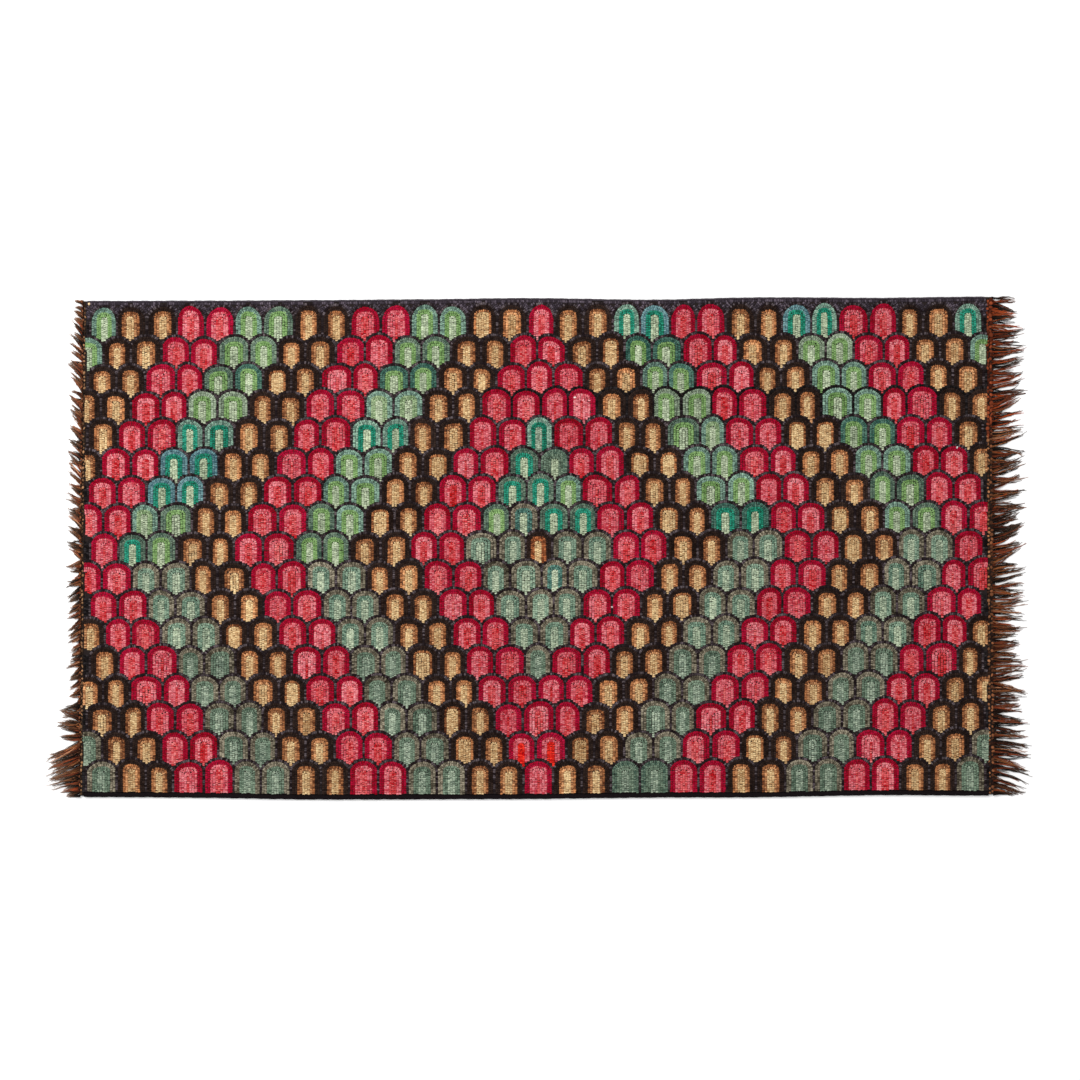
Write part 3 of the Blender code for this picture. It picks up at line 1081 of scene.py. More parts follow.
RIDGE_HALF = 0.25  # half the length of the ridge, across the row
loop_mesh = bpy.data.meshes.new("one_loop")
foot_points = [(-0.5, -0.5, 0), (0.5, -0.5, 0), (0.5, 0.5, 0), (-0.5, 0.5, 0)]
ridge_points = [(0, -RIDGE_HALF, 1), (0, RIDGE_HALF, 1)]
loop_mesh.from_pydata(foot_points + ridge_points, [], [(0, 1, 4), (1, 2, 5, 4), (2, 3, 5), (3, 0, 4, 5)])
one_loop = shape_object("one_loop", loop_mesh)
print("loop:", len(loop_mesh.vertices), "points")

# %% [markdown]
# Hooking the face is now one call for each bundle. The loops' feet stand a little below the crest, in a
# bed of packed wool that comes later.

# %% Hook the face
LOOP_HEIGHT = 0.0026  # from the bed to the crest
LOOP_OVERLAP = 1.13  # a loop is a little longer than its pitch, and wider than its row
BUNDLE_FLECKS = {"outline_loops": 2.4}  # the other bundles take 1
FIRST_LOOP_SEED = 100

# A few single loops that took a scrap of another yarn.
ODD_LOOPS = (
    # bundle           x       y       colour
    ("outline_loops", -0.790, 0.430, (232, 206, 164)),
    ("crimson_loops", 0.739, 0.176, (238, 226, 222)),
    ("gold_loops", 0.1865, -0.360, (92, 58, 36)),
    ("rose_loops", 0.0607, 0.267, (246, 226, 222)),
    ("outline_loops", 0.1243, -0.106, (196, 186, 184)),
)


def dye_odd_loops(name, mesh):
    """Gives the odd loops of a bundle their own colour. Each loop has the points of one_loop in a row."""
    corners = len(loop_mesh.vertices)
    places = np.empty(len(mesh.vertices) * 3, np.float32)
    mesh.vertices.foreach_get("co", places)
    middles = places.reshape(-1, corners, 3).mean(axis=1)[:, :2]
    dye = mesh.attributes["dye"]
    for bundle, x, y, colour in ODD_LOOPS:
        if bundle == name:
            nearest = int(np.argmin(((middles - (x, y)) ** 2).sum(axis=1)))
            for corner in range(corners):
                dye.data[nearest * corners + corner].color = (*linear(colour), 1.0)


def hook(name, lines, seed):
    """Makes one bundle of lines into a piece of the pile."""
    raised = []
    for yarn, batch, points in lines:
        z = loop_top(points[:, 0], points[:, 1]) - LOOP_HEIGHT
        raised.append((np.column_stack((points, z)), shades(yarn, batch)))
    values = {
        "Pitch": LOOP_PITCH, "Length": LOOP_PITCH * LOOP_OVERLAP, "Width": row_width * LOOP_OVERLAP,
        "Height": LOOP_HEIGHT, "Unevenness": 0.14, "Lean": 0.2, "Stray": 0.0004,
        "Flecks": BUNDLE_FLECKS.get(name, 1.0), "Shape": one_loop, "Material": wool, "Seed": seed,
    }
    piece = grown_piece(name, raised, along_tree, values)
    dye_odd_loops(name, piece.data)
    add_flat_map(piece.data)
    return piece


for number, (name, lines) in enumerate(bundles.items()):
    piece = hook(name, lines, FIRST_LOOP_SEED + number)
    print(name, len(piece.data.vertices) // len(loop_mesh.vertices), "loops")

# %% [markdown]
# ## Burlap and bed
#
# The loops stand on burlap, a coarse open jute cloth about a millimetre thick, which is the sheet that
# the whole rug is made on. Between the burlap and the visible crests the wool is packed into one bed,
# whose dark colour is painted shade for the deep gaps between the loops. Both are slabs with the rug's
# outline: a grid laid on the face and let down to a level underside.

# %% Slab helper
FIELD_TRIMS = (BINDING_BOTTOM_WIDTH + GAP, BINDING_TOP_WIDTH + GAP)
SHARP_RIM = 0.6  # an edge that turns by more than this angle stays sharp


def slab(name, top, bottom, material, grid, overhang=0.0):
    """A closed slab of the face's outline. top(x, y) gives its upper side and bottom is level."""
    bm = bmesh.new()
    bmesh.ops.create_grid(bm, x_segments=grid[0], y_segments=grid[1], size=0.5)
    shares = np.array([vertex.co[:2] for vertex in bm.verts]) + 0.5
    x, y = face_point(shares[:, 0], shares[:, 1], *FIELD_TRIMS, overhang)
    for vertex, place in zip(bm.verts, np.column_stack((x, y, top(x, y))).tolist()):
        vertex.co = place
    underside = bmesh.ops.extrude_face_region(bm, geom=list(bm.faces), use_keep_orig=True)
    for item in underside["geom"]:
        if isinstance(item, bmesh.types.BMVert):
            item.co.z = bottom
    return closed_piece(name, bm, material, SHARP_RIM)


print("trimmed by", FIELD_TRIMS)

# %% [markdown]
# Burlap is a plain weave of thick jute threads. Two sine waves at right angles draw them, one for the warp
# and one for the weft, and the higher of the two shows. The bed needs no pattern of its own, only a dark
# colour, which is painted shade for the hollows between the loops.

# %% Burlap and bed materials
THREAD_PITCH = 0.0021
WAVE_TURN = 20  # radians a metre in a wave texture of scale 1
RAMP_LOW, RAMP_HIGH = 0.32, 0.68  # the noise at which the colours are reached


def plain_material(name, low, high, scale, roughness=0.9, bump=0.4, gloss=0.25):
    """A dull finish whose colour wanders between two colours, as seen, with a matching bump."""
    material, tree, shader, place = new_material(name, roughness, gloss)
    noise = output(tree, "ShaderNodeTexNoise", {"Vector": place, "Scale": scale, "Detail": 5.0})
    ramp = node(tree, "ShaderNodeValToRGB", {"Fac": noise})
    for stop, position, colour in zip(ramp.color_ramp.elements, (RAMP_LOW, RAMP_HIGH), (low, high)):
        stop.position = position
        stop.color = (*linear(colour), 1.0)
    tree.links.new(ramp.outputs[0], shader.inputs["Base Color"])
    add_bump(tree, shader, noise, bump, distance=0.0008)
    return material


def burlap_material():
    """Jute: a plain weave in two browns."""
    material = plain_material("jute_burlap", (96, 74, 50), (150, 122, 86), scale=60.0)
    tree = material.node_tree
    inputs = {"Vector": node(tree, "ShaderNodeTexCoord").outputs["Object"],
              "Scale": 2 * np.pi / THREAD_PITCH / WAVE_TURN, "Distortion": 0.6, "Detail": 1.0}
    warp, weft = (node(tree, "ShaderNodeTexWave", inputs, wave_type="BANDS", bands_direction=turn)
                  for turn in ("X", "Y"))
    weave = maths(tree, "MAXIMUM", warp.outputs["Fac"], weft.outputs["Fac"])
    add_bump(tree, tree.nodes["Principled BSDF"], weave, strength=0.9, distance=0.0006)
    return material


print("thread pitch", THREAD_PITCH)

# %% Burlap and bed
BURLAP_THICKNESS = 0.0013
BED_BELOW_CREST = 0.0022
BURLAP_GRID = (64, 32)
BED_GRID = (160, 80)
BED_BOTTOM = BURLAP_THICKNESS + 0.0001

burlap = slab("burlap", lambda x, y: np.full(len(x), BURLAP_THICKNESS), 0.0, burlap_material(), BURLAP_GRID)
# The bed's dark colour is painted shade for the deep hollows between the loops.
painted_shade_bed = plain_material("painted_shade_bed", (16, 10, 10), (36, 24, 22), scale=400.0)
slab("wool_bed", lambda x, y: loop_top(x, y) - BED_BELOW_CREST, BED_BOTTOM, painted_shade_bed, BED_GRID,
     overhang=1.0)
print("burlap", len(burlap.data.polygons), "faces")

# %% [markdown]
# ## The bindings
#
# A cotton tape is folded over each long edge and sewn down. From above it is a thin rounded border: dark
# grey and 3 mm wide along the top, black and 7 mm wide along the bottom. It is drawn as one profile swept
# along the edge: up the outer side, over the roll, and down where it meets the loops. The tape puckers a
# little at each stitch. A sum of sines lifts and pinches it, so that its outer line is as uneven as the
# real one.

# %% Tape
BINDING_HEIGHT = 0.0056
STITCH_PITCH = 0.0085
PUCKER = 0.0004  # how far the tape's outer line wanders
LIFT = 0.07  # how far its height does, as a share
DEEPEST_PINCH = -0.9
TAPE_STATIONS = 560
SHARP_TAPE = 1.0  # radians
ROLL_TOP = 0.0010  # how far the tapes bulge past the edges
ROLL_BOTTOM = 0.0022
PUCKER_WAVES = ((0.19, 0.3), (0.061, 0.4), (0.023, 0.5), (STITCH_PITCH, 0.35))  # length and share
TAPE_PROFILE = (
    # share of the width from the outer side, share of the height
    (0.00, 0.00), (0.00, 0.45), (0.07, 0.80), (0.25, 0.97),
    (0.52, 1.00), (0.80, 0.92), (1.00, 0.70), (1.00, 0.00),
)


def swept(name, lines, material, sharp_angle=None):
    """A closed piece from the lines along which its profile's corners run."""
    rings = np.stack(lines, axis=1)
    stations, side = rings.shape[:2]
    faces = [range(side), range((stations - 1) * side, stations * side)]
    for station in range(stations - 1):
        for corner in range(side):
            first, second = station * side + corner, station * side + (corner + 1) % side
            faces.append((first, second, second + side, first + side))
    bm = bmesh.new()
    made = [bm.verts.new(point) for point in rings.reshape(-1, 3).tolist()]
    for face in faces:
        bm.faces.new([made[corner] for corner in face])
    return closed_piece(name, bm, material, sharp_angle)


def tape(name, column, width, roll, material, seed):
    """A folded tape along the top or the bottom edge of the rug. It rolls out past the edge by roll."""
    draw = np.random.default_rng(seed)
    up, inward = (1.0, -1.0) if column == TOP_Y else (0.0, 1.0)
    x, edge = face_point(np.linspace(0.0, 1.0, TAPE_STATIONS), np.full(TAPE_STATIONS, up))
    lift = np.zeros(TAPE_STATIONS)
    for length, share in PUCKER_WAVES:
        lift += share * np.sin(2 * np.pi * x / length + draw.uniform(0, 2 * np.pi))
    lines = []
    for across, high in TAPE_PROFILE:
        reach = width * across + (PUCKER * np.maximum(lift, DEEPEST_PINCH) - roll) * (1 - across)
        z = BINDING_HEIGHT * high * (1 + LIFT * lift)
        lines.append(np.column_stack((x, edge + inward * reach, z)))
    return swept(name, lines, material, SHARP_TAPE)


black_cotton = plain_material("black_tape_cotton", (6, 3, 4), (24, 17, 20), scale=700.0,
                              roughness=0.8, bump=0.6, gloss=0.06)
grey_cotton = plain_material("grey_tape_cotton", (34, 29, 34), (74, 65, 74), scale=700.0,
                             roughness=0.8, bump=0.6)
tape("binding_top_tape", TOP_Y, BINDING_TOP_WIDTH, ROLL_TOP, grey_cotton, seed=3)
tape("binding_bottom_tape", BOTTOM_Y, BINDING_BOTTOM_WIDTH, ROLL_BOTTOM, black_cotton, seed=4)
print("tape stations", TAPE_STATIONS)

# %% [markdown]
# ## The headings
#
# Each end of the rug is finished with a heading. The warp ends are wrapped with rust and black wool and
# knotted. The left end has one column of knots, with the turned ends of the wool beside it. The right end
# has two columns, and broad wraps in their place near the top. A dark band of packed yarn carries them.
# The knots are small round shapes, set along upright lines by the same tree as the loops.

# %% Heading bands
# Where the two ends differ, the left end's value comes first and the right end's second.
HEADING_WIDTHS = (0.0070, 0.0150)
RIBS = (1, 2)  # one for each column of knots
RIB_STEPS = 6  # from one side of a rib to the other
BAND_HEIGHT = 0.0024  # in the valleys between the ribs
RIB_RISE = 0.0016
HEADING_STATIONS = 120
FRINGE_DYES = {
    # yarn: (deepest, brightest)
    "rust": ((18, 6, 4), (172, 74, 34)),
    "old_rust": ((20, 8, 5), (140, 66, 38)),
    "brown": ((16, 9, 6), (152, 92, 54)),
    "soot": ((4, 3, 3), (34, 24, 20)),
    "tan": ((84, 46, 28), (196, 140, 104)),
    "rust_knot": ((44, 16, 9), (128, 60, 34)),
    "tan_knot": ((36, 20, 14), (158, 106, 70)),
    "tan_turn": ((30, 16, 11), (126, 78, 50)),
    "old_knot": ((26, 18, 12), (146, 108, 76)),
    "old_turn": ((16, 10, 8), (126, 76, 50)),
    # painted light: the pale colour of the thin tips, where the floor's light shows through
    "pale_tip": ((186, 150, 124), (226, 204, 184)),
}


def heading_band(name, side, material):
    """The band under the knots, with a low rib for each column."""
    outward, top, bottom = end_of(side)
    width, steps = HEADING_WIDTHS[side], RIB_STEPS * RIBS[side]
    profile = [(width * step / steps, BAND_HEIGHT + RIB_RISE * abs(np.sin(np.pi * step / RIB_STEPS)))
               for step in range(steps + 1)]
    share = np.linspace(0.0, 1.0, HEADING_STATIONS)
    lines = []
    for distance, z in [(0.0, 0.0), *profile, (width, 0.0)]:
        x = table_value(END_EDGES, side, share) + outward * (GAP / 2 + distance)
        lines.append(np.column_stack((x, bottom + (top - bottom) * share, np.full(len(x), z))))
    return swept(name, lines, material)


packed_yarn = plain_material("packed_fringe_yarn", (14, 10, 8), (44, 28, 20), scale=260.0)
heading_band("heading_left_band", LEFT_X, packed_yarn)
heading_band("heading_right_band", RIGHT_X, packed_yarn)
print("heading bands made")

# %% [markdown]
# The heading was worked on a straight line, while the hooked face beside it slants a little. So the knots
# and the roots of the fringe have their own table of places. Near the top of the right end the yarn is
# a redder rust and is wrapped in broad turns, and further down there are small tan knots.

# %% Knots
END_GAIN = 1.33  # as the hollow gain, for the yarns of the ends
KNOT_PITCH = 0.0070
KNOT_STAGGER = 0.4 * KNOT_PITCH  # the second column stands this much higher
KNOT_ENDS = (0.004, 0.992)  # shares of the way up the end between which there are knots
WRAPPED_FROM = 0.72  # share of the way up the right end

# From the bottom edge to the top edge: the x of each upright line.
HEADING_LINES = (
    # left_knots  left_turns  left_roots  inner_knots  outer_knots  right_roots
    (-0.8030, -0.8064, -0.8048, 0.7976, 0.8036, 0.8042),
    (-0.8006, -0.8042, -0.8024, 0.7958, 0.8013, 0.8024),
    (-0.7966, -0.8004, -0.7990, 0.7936, 0.7990, 0.8008),
)
LEFT_KNOTS, LEFT_TURNS, LEFT_ROOTS, INNER_KNOTS, OUTER_KNOTS, RIGHT_ROOTS = range(6)
KNOT_HEIGHT = 0.0042  # the middle of a knot above the floor
# The knots get the same painted shade towards their foot as the loops.
knot_wool = wool_material("knotted_wool", fade=0.2, fleck=0.3, foot=0.5)

bm = bmesh.new()
bmesh.ops.create_uvsphere(bm, u_segments=8, v_segments=5, radius=0.5)
knot_mesh = bpy.data.meshes.new("one_knot")
bm.to_mesh(knot_mesh)
bm.free()
one_knot = shape_object("one_knot", knot_mesh)


def fringe_shades(yarn, first=0.0, last=1.0):
    """Two shades of a yarn of the ends, at shares of the way from its deepest to its brightest."""
    low, high = (np.array(colour) for colour in FRINGE_DYES[yarn])
    return [np.append(linear(low + (high - low) * share) * END_GAIN, 1.0) for share in (first, last)]


def knots(name, side, columns, size, flecks, seed):
    """Columns of knots. Each has its line, its first and last share of the way up, and its yarn."""
    _, top, bottom = end_of(side)
    lines = []
    for number, (line, first, last, yarn) in enumerate(columns):
        share = np.linspace(max(first, KNOT_ENDS[0]), min(last, KNOT_ENDS[1]), HEADING_STATIONS)
        x = table_value(HEADING_LINES, line, share)
        y = bottom + (top - bottom) * share + KNOT_STAGGER * number
        lines.append((np.column_stack((x, y, np.full(len(x), KNOT_HEIGHT))), fringe_shades(yarn)))
    values = {
        "Pitch": KNOT_PITCH, "Length": size[0], "Width": size[1], "Height": size[2],
        "Unevenness": 0.35, "Lean": 0.6, "Stray": 0.0010, "Flecks": flecks,
        "Shape": one_knot, "Material": knot_wool, "Seed": seed,
    }
    return grown_piece(name, lines, along_tree, values)


knots("heading_left_knots", LEFT_X,
      ((LEFT_KNOTS, 0.0, 1.0, "old_knot"), (LEFT_TURNS, 0.0, 1.0, "old_turn")),
      size=(0.0056, 0.0038, 0.0030), flecks=1.8, seed=301)
knots("heading_right_knots", RIGHT_X,
      ((INNER_KNOTS, 0.0, WRAPPED_FROM, "tan_knot"), (OUTER_KNOTS, 0.0, WRAPPED_FROM, "tan_turn")),
      size=(0.0060, 0.0056, 0.0030), flecks=1.6, seed=302)
knots("heading_right_wraps", RIGHT_X,
      ((INNER_KNOTS, WRAPPED_FROM, 1.0, "rust_knot"), (OUTER_KNOTS, WRAPPED_FROM, 1.0, "rust_knot")),
      size=(0.0080, 0.0068, 0.0030), flecks=1.2, seed=303)
print("knots every", KNOT_PITCH)

# %% [markdown]
# ## The fringe
#
# The fringe is the warp itself, left long: thin wool strands in rust and black that cling together in
# pointed locks. There are eighty locks at each end, as on the solids, and the same random draws shorten
# them. One table says how far they reach and how far they are swept aside, in steps along each end: up
# and away over the left end's upper half, and down below it. The right end's locks reach twice as far as
# most of the left end's. Near the bottom of both ends the wool is darker.

# %% Tables of the two fringes
LOCKS_PER_SIDE = 80
SHORTEST_LOCK = 0.72  # of the reach that the table gives
LOCK_STRAY = 0.0011  # of a tip, from the sweep that the table gives
LOCK_SEED = 21

# From the bottom edge to the top edge: how far the locks reach and how far up their tips are swept.
FRINGES = (
    # way_up  left_reach  left_sweep  right_reach  right_sweep
    (0.00, 0.026, -0.003, 0.026, -0.006),
    (0.03, 0.052, -0.012, 0.038, -0.016),
    (0.06, 0.062, -0.019, 0.048, -0.015),
    (0.10, 0.058, -0.016, 0.050, -0.006),
    (0.13, 0.040, -0.006, 0.050, 0.000),
    (0.16, 0.036, 0.001, 0.048, -0.001),
    (0.20, 0.020, -0.009, 0.045, -0.004),
    (0.30, 0.021, -0.013, 0.040, -0.001),
    (0.36, 0.021, -0.014, 0.041, 0.001),
    (0.44, 0.021, -0.006, 0.043, 0.007),
    (0.52, 0.022, 0.012, 0.046, 0.009),
    (0.60, 0.022, 0.015, 0.047, 0.009),
    (0.68, 0.022, 0.015, 0.045, 0.003),
    (0.76, 0.022, 0.015, 0.044, 0.012),
    (0.84, 0.022, 0.016, 0.044, 0.005),
    (0.92, 0.019, 0.014, 0.048, 0.006),
    (1.00, 0.013, 0.006, 0.037, -0.009),
)

WISP_YARNS = ("rust", "old_rust", "brown", "tan", "soot")
MIXED_SHARES = (0.10, 0.20, 0.28, 0.06, 0.36)
RUSTY_SHARES = (0.53, 0.05, 0.04, 0.02, 0.36)
DARKER_SHARES = (0.03, 0.22, 0.21, 0.02, 0.52)
DARKER_BELOW = 0.17  # share of the way up both ends


def locks(side):
    """For each lock of a fringe: its share of the way up the end, its reach and its sweep."""
    draw = random.Random(LOCK_SEED + side)
    way_up, *columns = np.array(FRINGES).T
    reaches, sweeps = columns[2 * side:2 * side + 2]
    for lock in range(LOCKS_PER_SIDE):
        share = (lock + 0.5) / LOCKS_PER_SIDE
        reach = float(np.interp(share, way_up, reaches)) * draw.uniform(SHORTEST_LOCK, 1.0)
        sweep = float(np.interp(share, way_up, sweeps)) + draw.uniform(-LOCK_STRAY, LOCK_STRAY)
        draw.random()  # the height of the solid's lock, which the wisps don't need
        yield share, reach, sweep


for side in (LEFT_X, RIGHT_X):
    print("longest lock", round(max(reach for _, reach, _ in locks(side)), 3), "m")

# %% [markdown]
# Each lock is split into wisps of one colour, which bend their own way and lie over each other, the dark
# ones below. The wisps of a lock start side by side on the heading and gather towards its tip. Those at
# its flanks are shorter, which gives the lock its point. A wisp's line has seven points, enough for a
# soft bend, and it comes down from the heading to the floor.

# %% Sizes of the wisps
LOCK_STEPS = 6
TIP_HEIGHT = 0.0009
ROOT_HEIGHTS = (0.0028, 0.0044)  # where the wisps leave the heading, lowest and highest
LOWEST_WOOL = 0.3  # and how high the deepest shade of any wool but soot lies between them
FALL_POWER = 1.4  # above 1 a wisp falls soon after it leaves the heading
EDGE_ROOM = 0.0015  # how far a tip may pass the line of a long edge
LOCK_FAN = 0.0046  # how far the tip of a lock strays to either side
WISP_FAN = 0.05  # how far a wisp turns aside from its lock, as a share of its reach
WISP_BOW = 0.05  # and how far it bows
LOCK_WIDTH = 1.2  # of the room that each lock has, so that they lie over each other
FLANK_LOSS = 0.30  # how much shorter a wisp is at a lock's flank than in its middle
GATHER_POWER = 0.7  # below 1 the wisps of a lock gather soon
RAGGED = (0.8, 1.0)  # of the longest wisp, so that the tips don't end in one line
TONE_SPREAD = 0.6  # below 1 most wisps are either dark or bright

# The left end's values come first and the right end's second.
WISPS_PER_LOCK = ((9.0, 60), (10.5, 0))  # the fewest, and how many more for each metre of reach
TONE_RANGES = (0.50, 0.25)  # of the yarn's range of shades, used within one wisp
WISP_LENGTHS = ((0.62, 1.55), (0.90, 1.78))  # as a share of the lock's
LONGEST_WISP = (0.066, 0.067)
WISP_BENDS = (0.8, 1.4)  # below 1 they turn aside at once
LOCK_GATHERS = ((0.6, 0.95), (0.6, 0.98))  # 1 for a lock that ends in one point
FULL_GATHER_REACH = (0.024, 0.060)  # longer locks gather less
ROOTS = (LEFT_ROOTS, RIGHT_ROOTS)

print("wisps in a right lock:", WISPS_PER_LOCK[RIGHT_X][0])

# %% Lines of the wisps


def wisp_lines(side, seed):
    """The middle lines of a fringe's wisps, from the top of the heading to the tip, with their shades."""
    outward, top, bottom = end_of(side)
    lock_room = (top - bottom) / LOCKS_PER_SIDE
    draw = np.random.default_rng(seed)
    steps = np.linspace(0.0, 1.0, LOCK_STEPS + 1)
    fewest, more = WISPS_PER_LOCK[side]
    lines = []
    for share, reach, sweep in locks(side):
        lock_sweep = sweep + draw.normal(0, LOCK_FAN)
        gather = draw.uniform(*LOCK_GATHERS[side]) * min(1.0, FULL_GATHER_REACH[side] / reach)
        rusty = side == RIGHT_X and share > WRAPPED_FROM
        shares = RUSTY_SHARES if rusty else DARKER_SHARES if share < DARKER_BELOW else MIXED_SHARES
        root_x = float(table_value(HEADING_LINES, ROOTS[side], share))
        root_y = bottom + (top - bottom) * share
        end_x = float(table_value(END_EDGES, side, share))
        for yarn in draw.choice(WISP_YARNS, round(fewest + more * reach), p=shares):
            tone = draw.beta(TONE_SPREAD, TONE_SPREAD)
            flank = draw.uniform(-1.0, 1.0)
            long = draw.uniform(*WISP_LENGTHS[side]) * (1 - FLANK_LOSS * abs(flank))
            long = min(long, LONGEST_WISP[side] * draw.uniform(*RAGGED) / reach)
            own_sweep = (lock_sweep + draw.normal(0, WISP_FAN * reach)) * long
            own_sweep = np.clip(own_sweep, bottom - EDGE_ROOM - root_y, top + EDGE_ROOM - root_y)
            bow = draw.normal(0, WISP_BOW * reach)
            tip_x = end_x + outward * (HEADING_WIDTHS[side] + reach * long)
            x = root_x + (tip_x - root_x) * steps
            y = root_y + own_sweep * steps ** WISP_BENDS[side]
            beside = flank * LOCK_WIDTH / 2 * lock_room
            y += beside * (1 - gather * steps**GATHER_POWER) + bow * np.sin(np.pi * steps)
            lying = draw.uniform() if yarn == "soot" else LOWEST_WOOL + (1 - LOWEST_WOOL) * tone
            root_height = ROOT_HEIGHTS[0] + (ROOT_HEIGHTS[1] - ROOT_HEIGHTS[0]) * lying
            z = TIP_HEIGHT + (root_height - TIP_HEIGHT) * (1 - steps) ** FALL_POWER
            first = tone * (1 - TONE_RANGES[side])
            own_shades = fringe_shades(yarn, first, first + TONE_RANGES[side])
            lines.append((np.column_stack((x, y, z)), own_shades))
    return lines


print("steps in a wisp", LOCK_STEPS)

# %% [markdown]
# A second tree turns each wisp's line into strands. It copies the line, spreads the copies at the root and
# gathers them at the tip, lets each wave a little and end where it likes, and sweeps a three-sided strand
# along it that thins towards its end. Some strands of a wisp stay as dark as its yarn gets. The tips get a
# paler colour, which is painted light for the floor's light showing through thin hair, and the roots get
# painted shade, because the knots shade them.

# %% The tree for strands
STRAND_INPUTS = (
    ("Strands", "Int"), ("Spread", "Float"), ("Thickness", "Float"), ("Wave", "Float"),
    ("Tip Spread", "Float"), ("Shortest", "Float"), ("Tip Light", "Float"), ("Dark Share", "Float"),
    ("Root Shade", "Float"), ("Material", "Material"), ("Seed", "Int"),
)
STRAND_POINTS = 6
ROOT_GATHER = 0.75  # below 1 the strands stay apart further along
LIFTS = (-0.0004, 0.0008)  # of a strand at its root, lowest and highest
WAVE_SCALE = 60.0  # turns a metre in the noise that the strands follow
FLATNESS = (1.0, 1.0, 0.1)  # they wave along the floor more than up and down
SHADE_POWER = 1.2  # above 1 more strands are dark
TIP_LIGHT_POWER = 3.0  # only the tips take the painted light
SHADED_ROOT = 0.3  # share of a strand that the heading and its neighbours shade
TIP_THINNESS = 0.4  # of its thickness at the root
THINNING_POWER = 1.6


def build_strand_tree():
    """The tree that makes each line into a wisp of strands."""
    tree, given = new_tree("strands_of_wisps", STRAND_INPUTS)
    curve = output(tree, "GeometryNodeMeshToCurve", {"Mesh": given["Geometry"]})
    copies = output(tree, "GeometryNodeDuplicateElements", {"Geometry": curve, "Amount": given["Strands"]},
                    domain="SPLINE")
    own_length = random_between(tree, given["Shortest"], 1.0, given["Seed"], 1)
    trimmed = output(tree, "GeometryNodeTrimCurve", {"Curve": copies, "End": own_length})
    points = output(tree, "GeometryNodeResampleCurve", {"Curve": trimmed, "Count": STRAND_POINTS})
    strand = output(tree, "GeometryNodeCurveOfPoint")
    way = output(tree, "GeometryNodeSplineParameter")

    def for_each_strand(low, high, step):
        """A random value that all points of a strand share."""
        return random_between(tree, low, high, given["Seed"], step, number=strand)

    # How far a strand stands aside from its wisp's middle line, and above it.
    gather = maths(tree, "POWER", maths(tree, "SUBTRACT", 1.0, way), ROOT_GATHER)
    at_root = maths(tree, "MULTIPLY", for_each_strand(-1.0, 1.0, 2), gather)
    at_tip = maths(tree, "MULTIPLY", for_each_strand(-1.0, 1.0, 3), given["Tip Spread"])
    across = maths(tree, "MULTIPLY", maths(tree, "MULTIPLY_ADD", at_tip, way, at_root), given["Spread"])
    lift = maths(tree, "MULTIPLY", for_each_strand(*LIFTS, 4), gather)
    spread = output(tree, "ShaderNodeCombineXYZ", {"Y": across, "Z": lift})

    # How it waves: a noise that differs from strand to strand and grows towards the tip.
    own_place = output(tree, "ShaderNodeCombineXYZ", {"Z": strand})
    shifted = vector_maths(tree, "ADD", output(tree, "GeometryNodeInputPosition"), own_place)
    noise = node(tree, "ShaderNodeTexNoise", {"Vector": shifted, "Scale": WAVE_SCALE, "Detail": 1.0})
    centred = vector_maths(tree, "SUBTRACT", noise.outputs["Color"], (0.5, 0.5, 0.5))
    level = vector_maths(tree, "MULTIPLY", centred, FLATNESS)
    waving = vector_maths(tree, "SCALE", level, maths(tree, "MULTIPLY", way, given["Wave"]))
    moved = vector_maths(tree, "ADD", spread, waving)
    set_out = output(tree, "GeometryNodeSetPosition", {"Geometry": points, "Offset": moved})

    # Its colour: a shade of the wisp's yarn or its deepest one, with painted light that makes the tip paler
    # and painted shade that makes the root darker.
    stays = maths(tree, "GREATER_THAN", for_each_strand(0.0, 1.0, 7), given["Dark Share"])
    shade = maths(tree, "MULTIPLY", maths(tree, "POWER", for_each_strand(0.0, 1.0, 5), SHADE_POWER), stays)
    paleness = maths(tree, "MULTIPLY", maths(tree, "POWER", way, TIP_LIGHT_POWER), given["Tip Light"])
    own_tip_light = maths(tree, "MULTIPLY", paleness, for_each_strand(0.0, 1.0, 6))
    pale = tuple(fringe_shades("pale_tip")[0])
    dye = node(tree, "ShaderNodeMix", {"Factor": own_tip_light, 6: mixed_dye(tree, shade), 7: pale},
               data_type="RGBA").outputs[2]
    root_light = ranged(tree, way, 0.0, SHADED_ROOT, given["Root Shade"], 1.0)
    dyed = stored_dye(tree, set_out, vector_maths(tree, "SCALE", dye, root_light), "POINT")

    thin = ranged(tree, maths(tree, "POWER", way, THINNING_POWER), 0.0, 1.0, 1.0, TIP_THINNESS)
    section = output(tree, "GeometryNodeCurvePrimitiveCircle", {"Resolution": 3, "Radius": 1.0})
    tubes = output(tree, "GeometryNodeCurveToMesh",
                   {"Curve": dyed, "Profile Curve": section, "Fill Caps": True,
                    "Scale": maths(tree, "MULTIPLY", thin, given["Thickness"])})
    smooth = output(tree, "GeometryNodeSetShadeSmooth", {"Geometry": tubes})
    return finish_tree(tree, smooth, given["Material"])


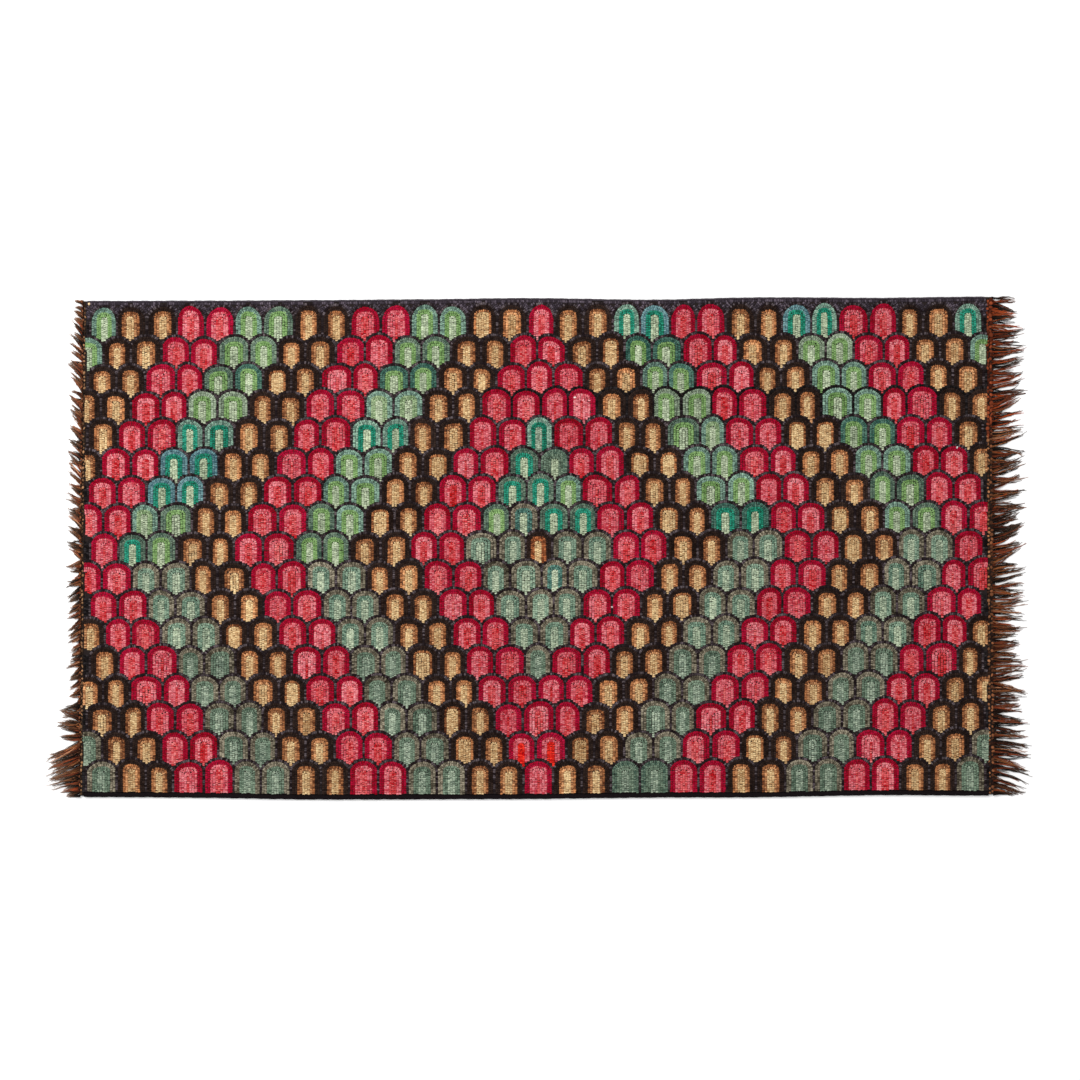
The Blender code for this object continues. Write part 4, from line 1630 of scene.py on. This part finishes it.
strand_tree = build_strand_tree()
print("tree with", len(strand_tree.nodes), "nodes")

# %% Grow the fringes
# The left end's values come first and the right end's second.
STRAND_VALUES = {
    "Strands": (4, 2), "Spread": (0.0022, 0.0012), "Thickness": (0.00074, 0.00092), "Wave": (0.010, 0.012),
    "Tip Spread": (0.2, 0.2), "Shortest": (0.75, 0.75), "Tip Light": (0.6, 0.2), "Dark Share": (0.34, 0.20),
    "Root Shade": (0.25, 0.5),
}
fringe_wool = wool_material("fringe_wool", fade=0.12, fleck=0.25)


def fringe(name, side, seed):
    """A fringe of wisps at one end of the rug."""
    values = {label: pair[side] for label, pair in STRAND_VALUES.items()}
    values.update({"Material": fringe_wool, "Seed": seed})
    return grown_piece(name, wisp_lines(side, seed), strand_tree, values)


fringe("fringe_left_strands", LEFT_X, seed=401)
fringe("fringe_right_strands", RIGHT_X, seed=402)
for shape in (one_loop, one_knot):
    bpy.data.objects.remove(shape)
print({name: len(obj.data.polygons) for name, obj in pieces.items()})

# %% [markdown]
# ## The rug's body
#
# Every piece rides on the rug's one body, and the solid that it stands for is hidden. The pile, the bed
# and the burlap stand for the solid of the hooked field. The burlap is the sheet of cloth of the rug, and
# the size it was cut to is worked out. Everything else is sewn or hooked to it.

# %% Ride and replace
STANDS_FOR = {
    "binding_top_tape": "binding_top", "binding_bottom_tape": "binding_bottom",
    "heading_left_band": "fringe_left", "heading_left_knots": "fringe_left",
    "heading_right_band": "fringe_right", "heading_right_knots": "fringe_right",
    "heading_right_wraps": "fringe_right",
    "fringe_left_strands": "fringe_left", "fringe_right_strands": "fringe_right",
}

for name, piece in pieces.items():
    solid = STANDS_FOR.get(name, "hooked_field")
    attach(piece, "root")
    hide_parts(solid)

cut_length = float(end_edge(RIGHT_X, 0.0) - end_edge(LEFT_X, 0.0))
cut_width = float(long_edge(TOP_Y, 0.0) - long_edge(BOTTOM_Y, 0.0)) - sum(FIELD_TRIMS)
print("burlap cut to", round(cut_width, 3), "by", round(cut_length, 3), "m")
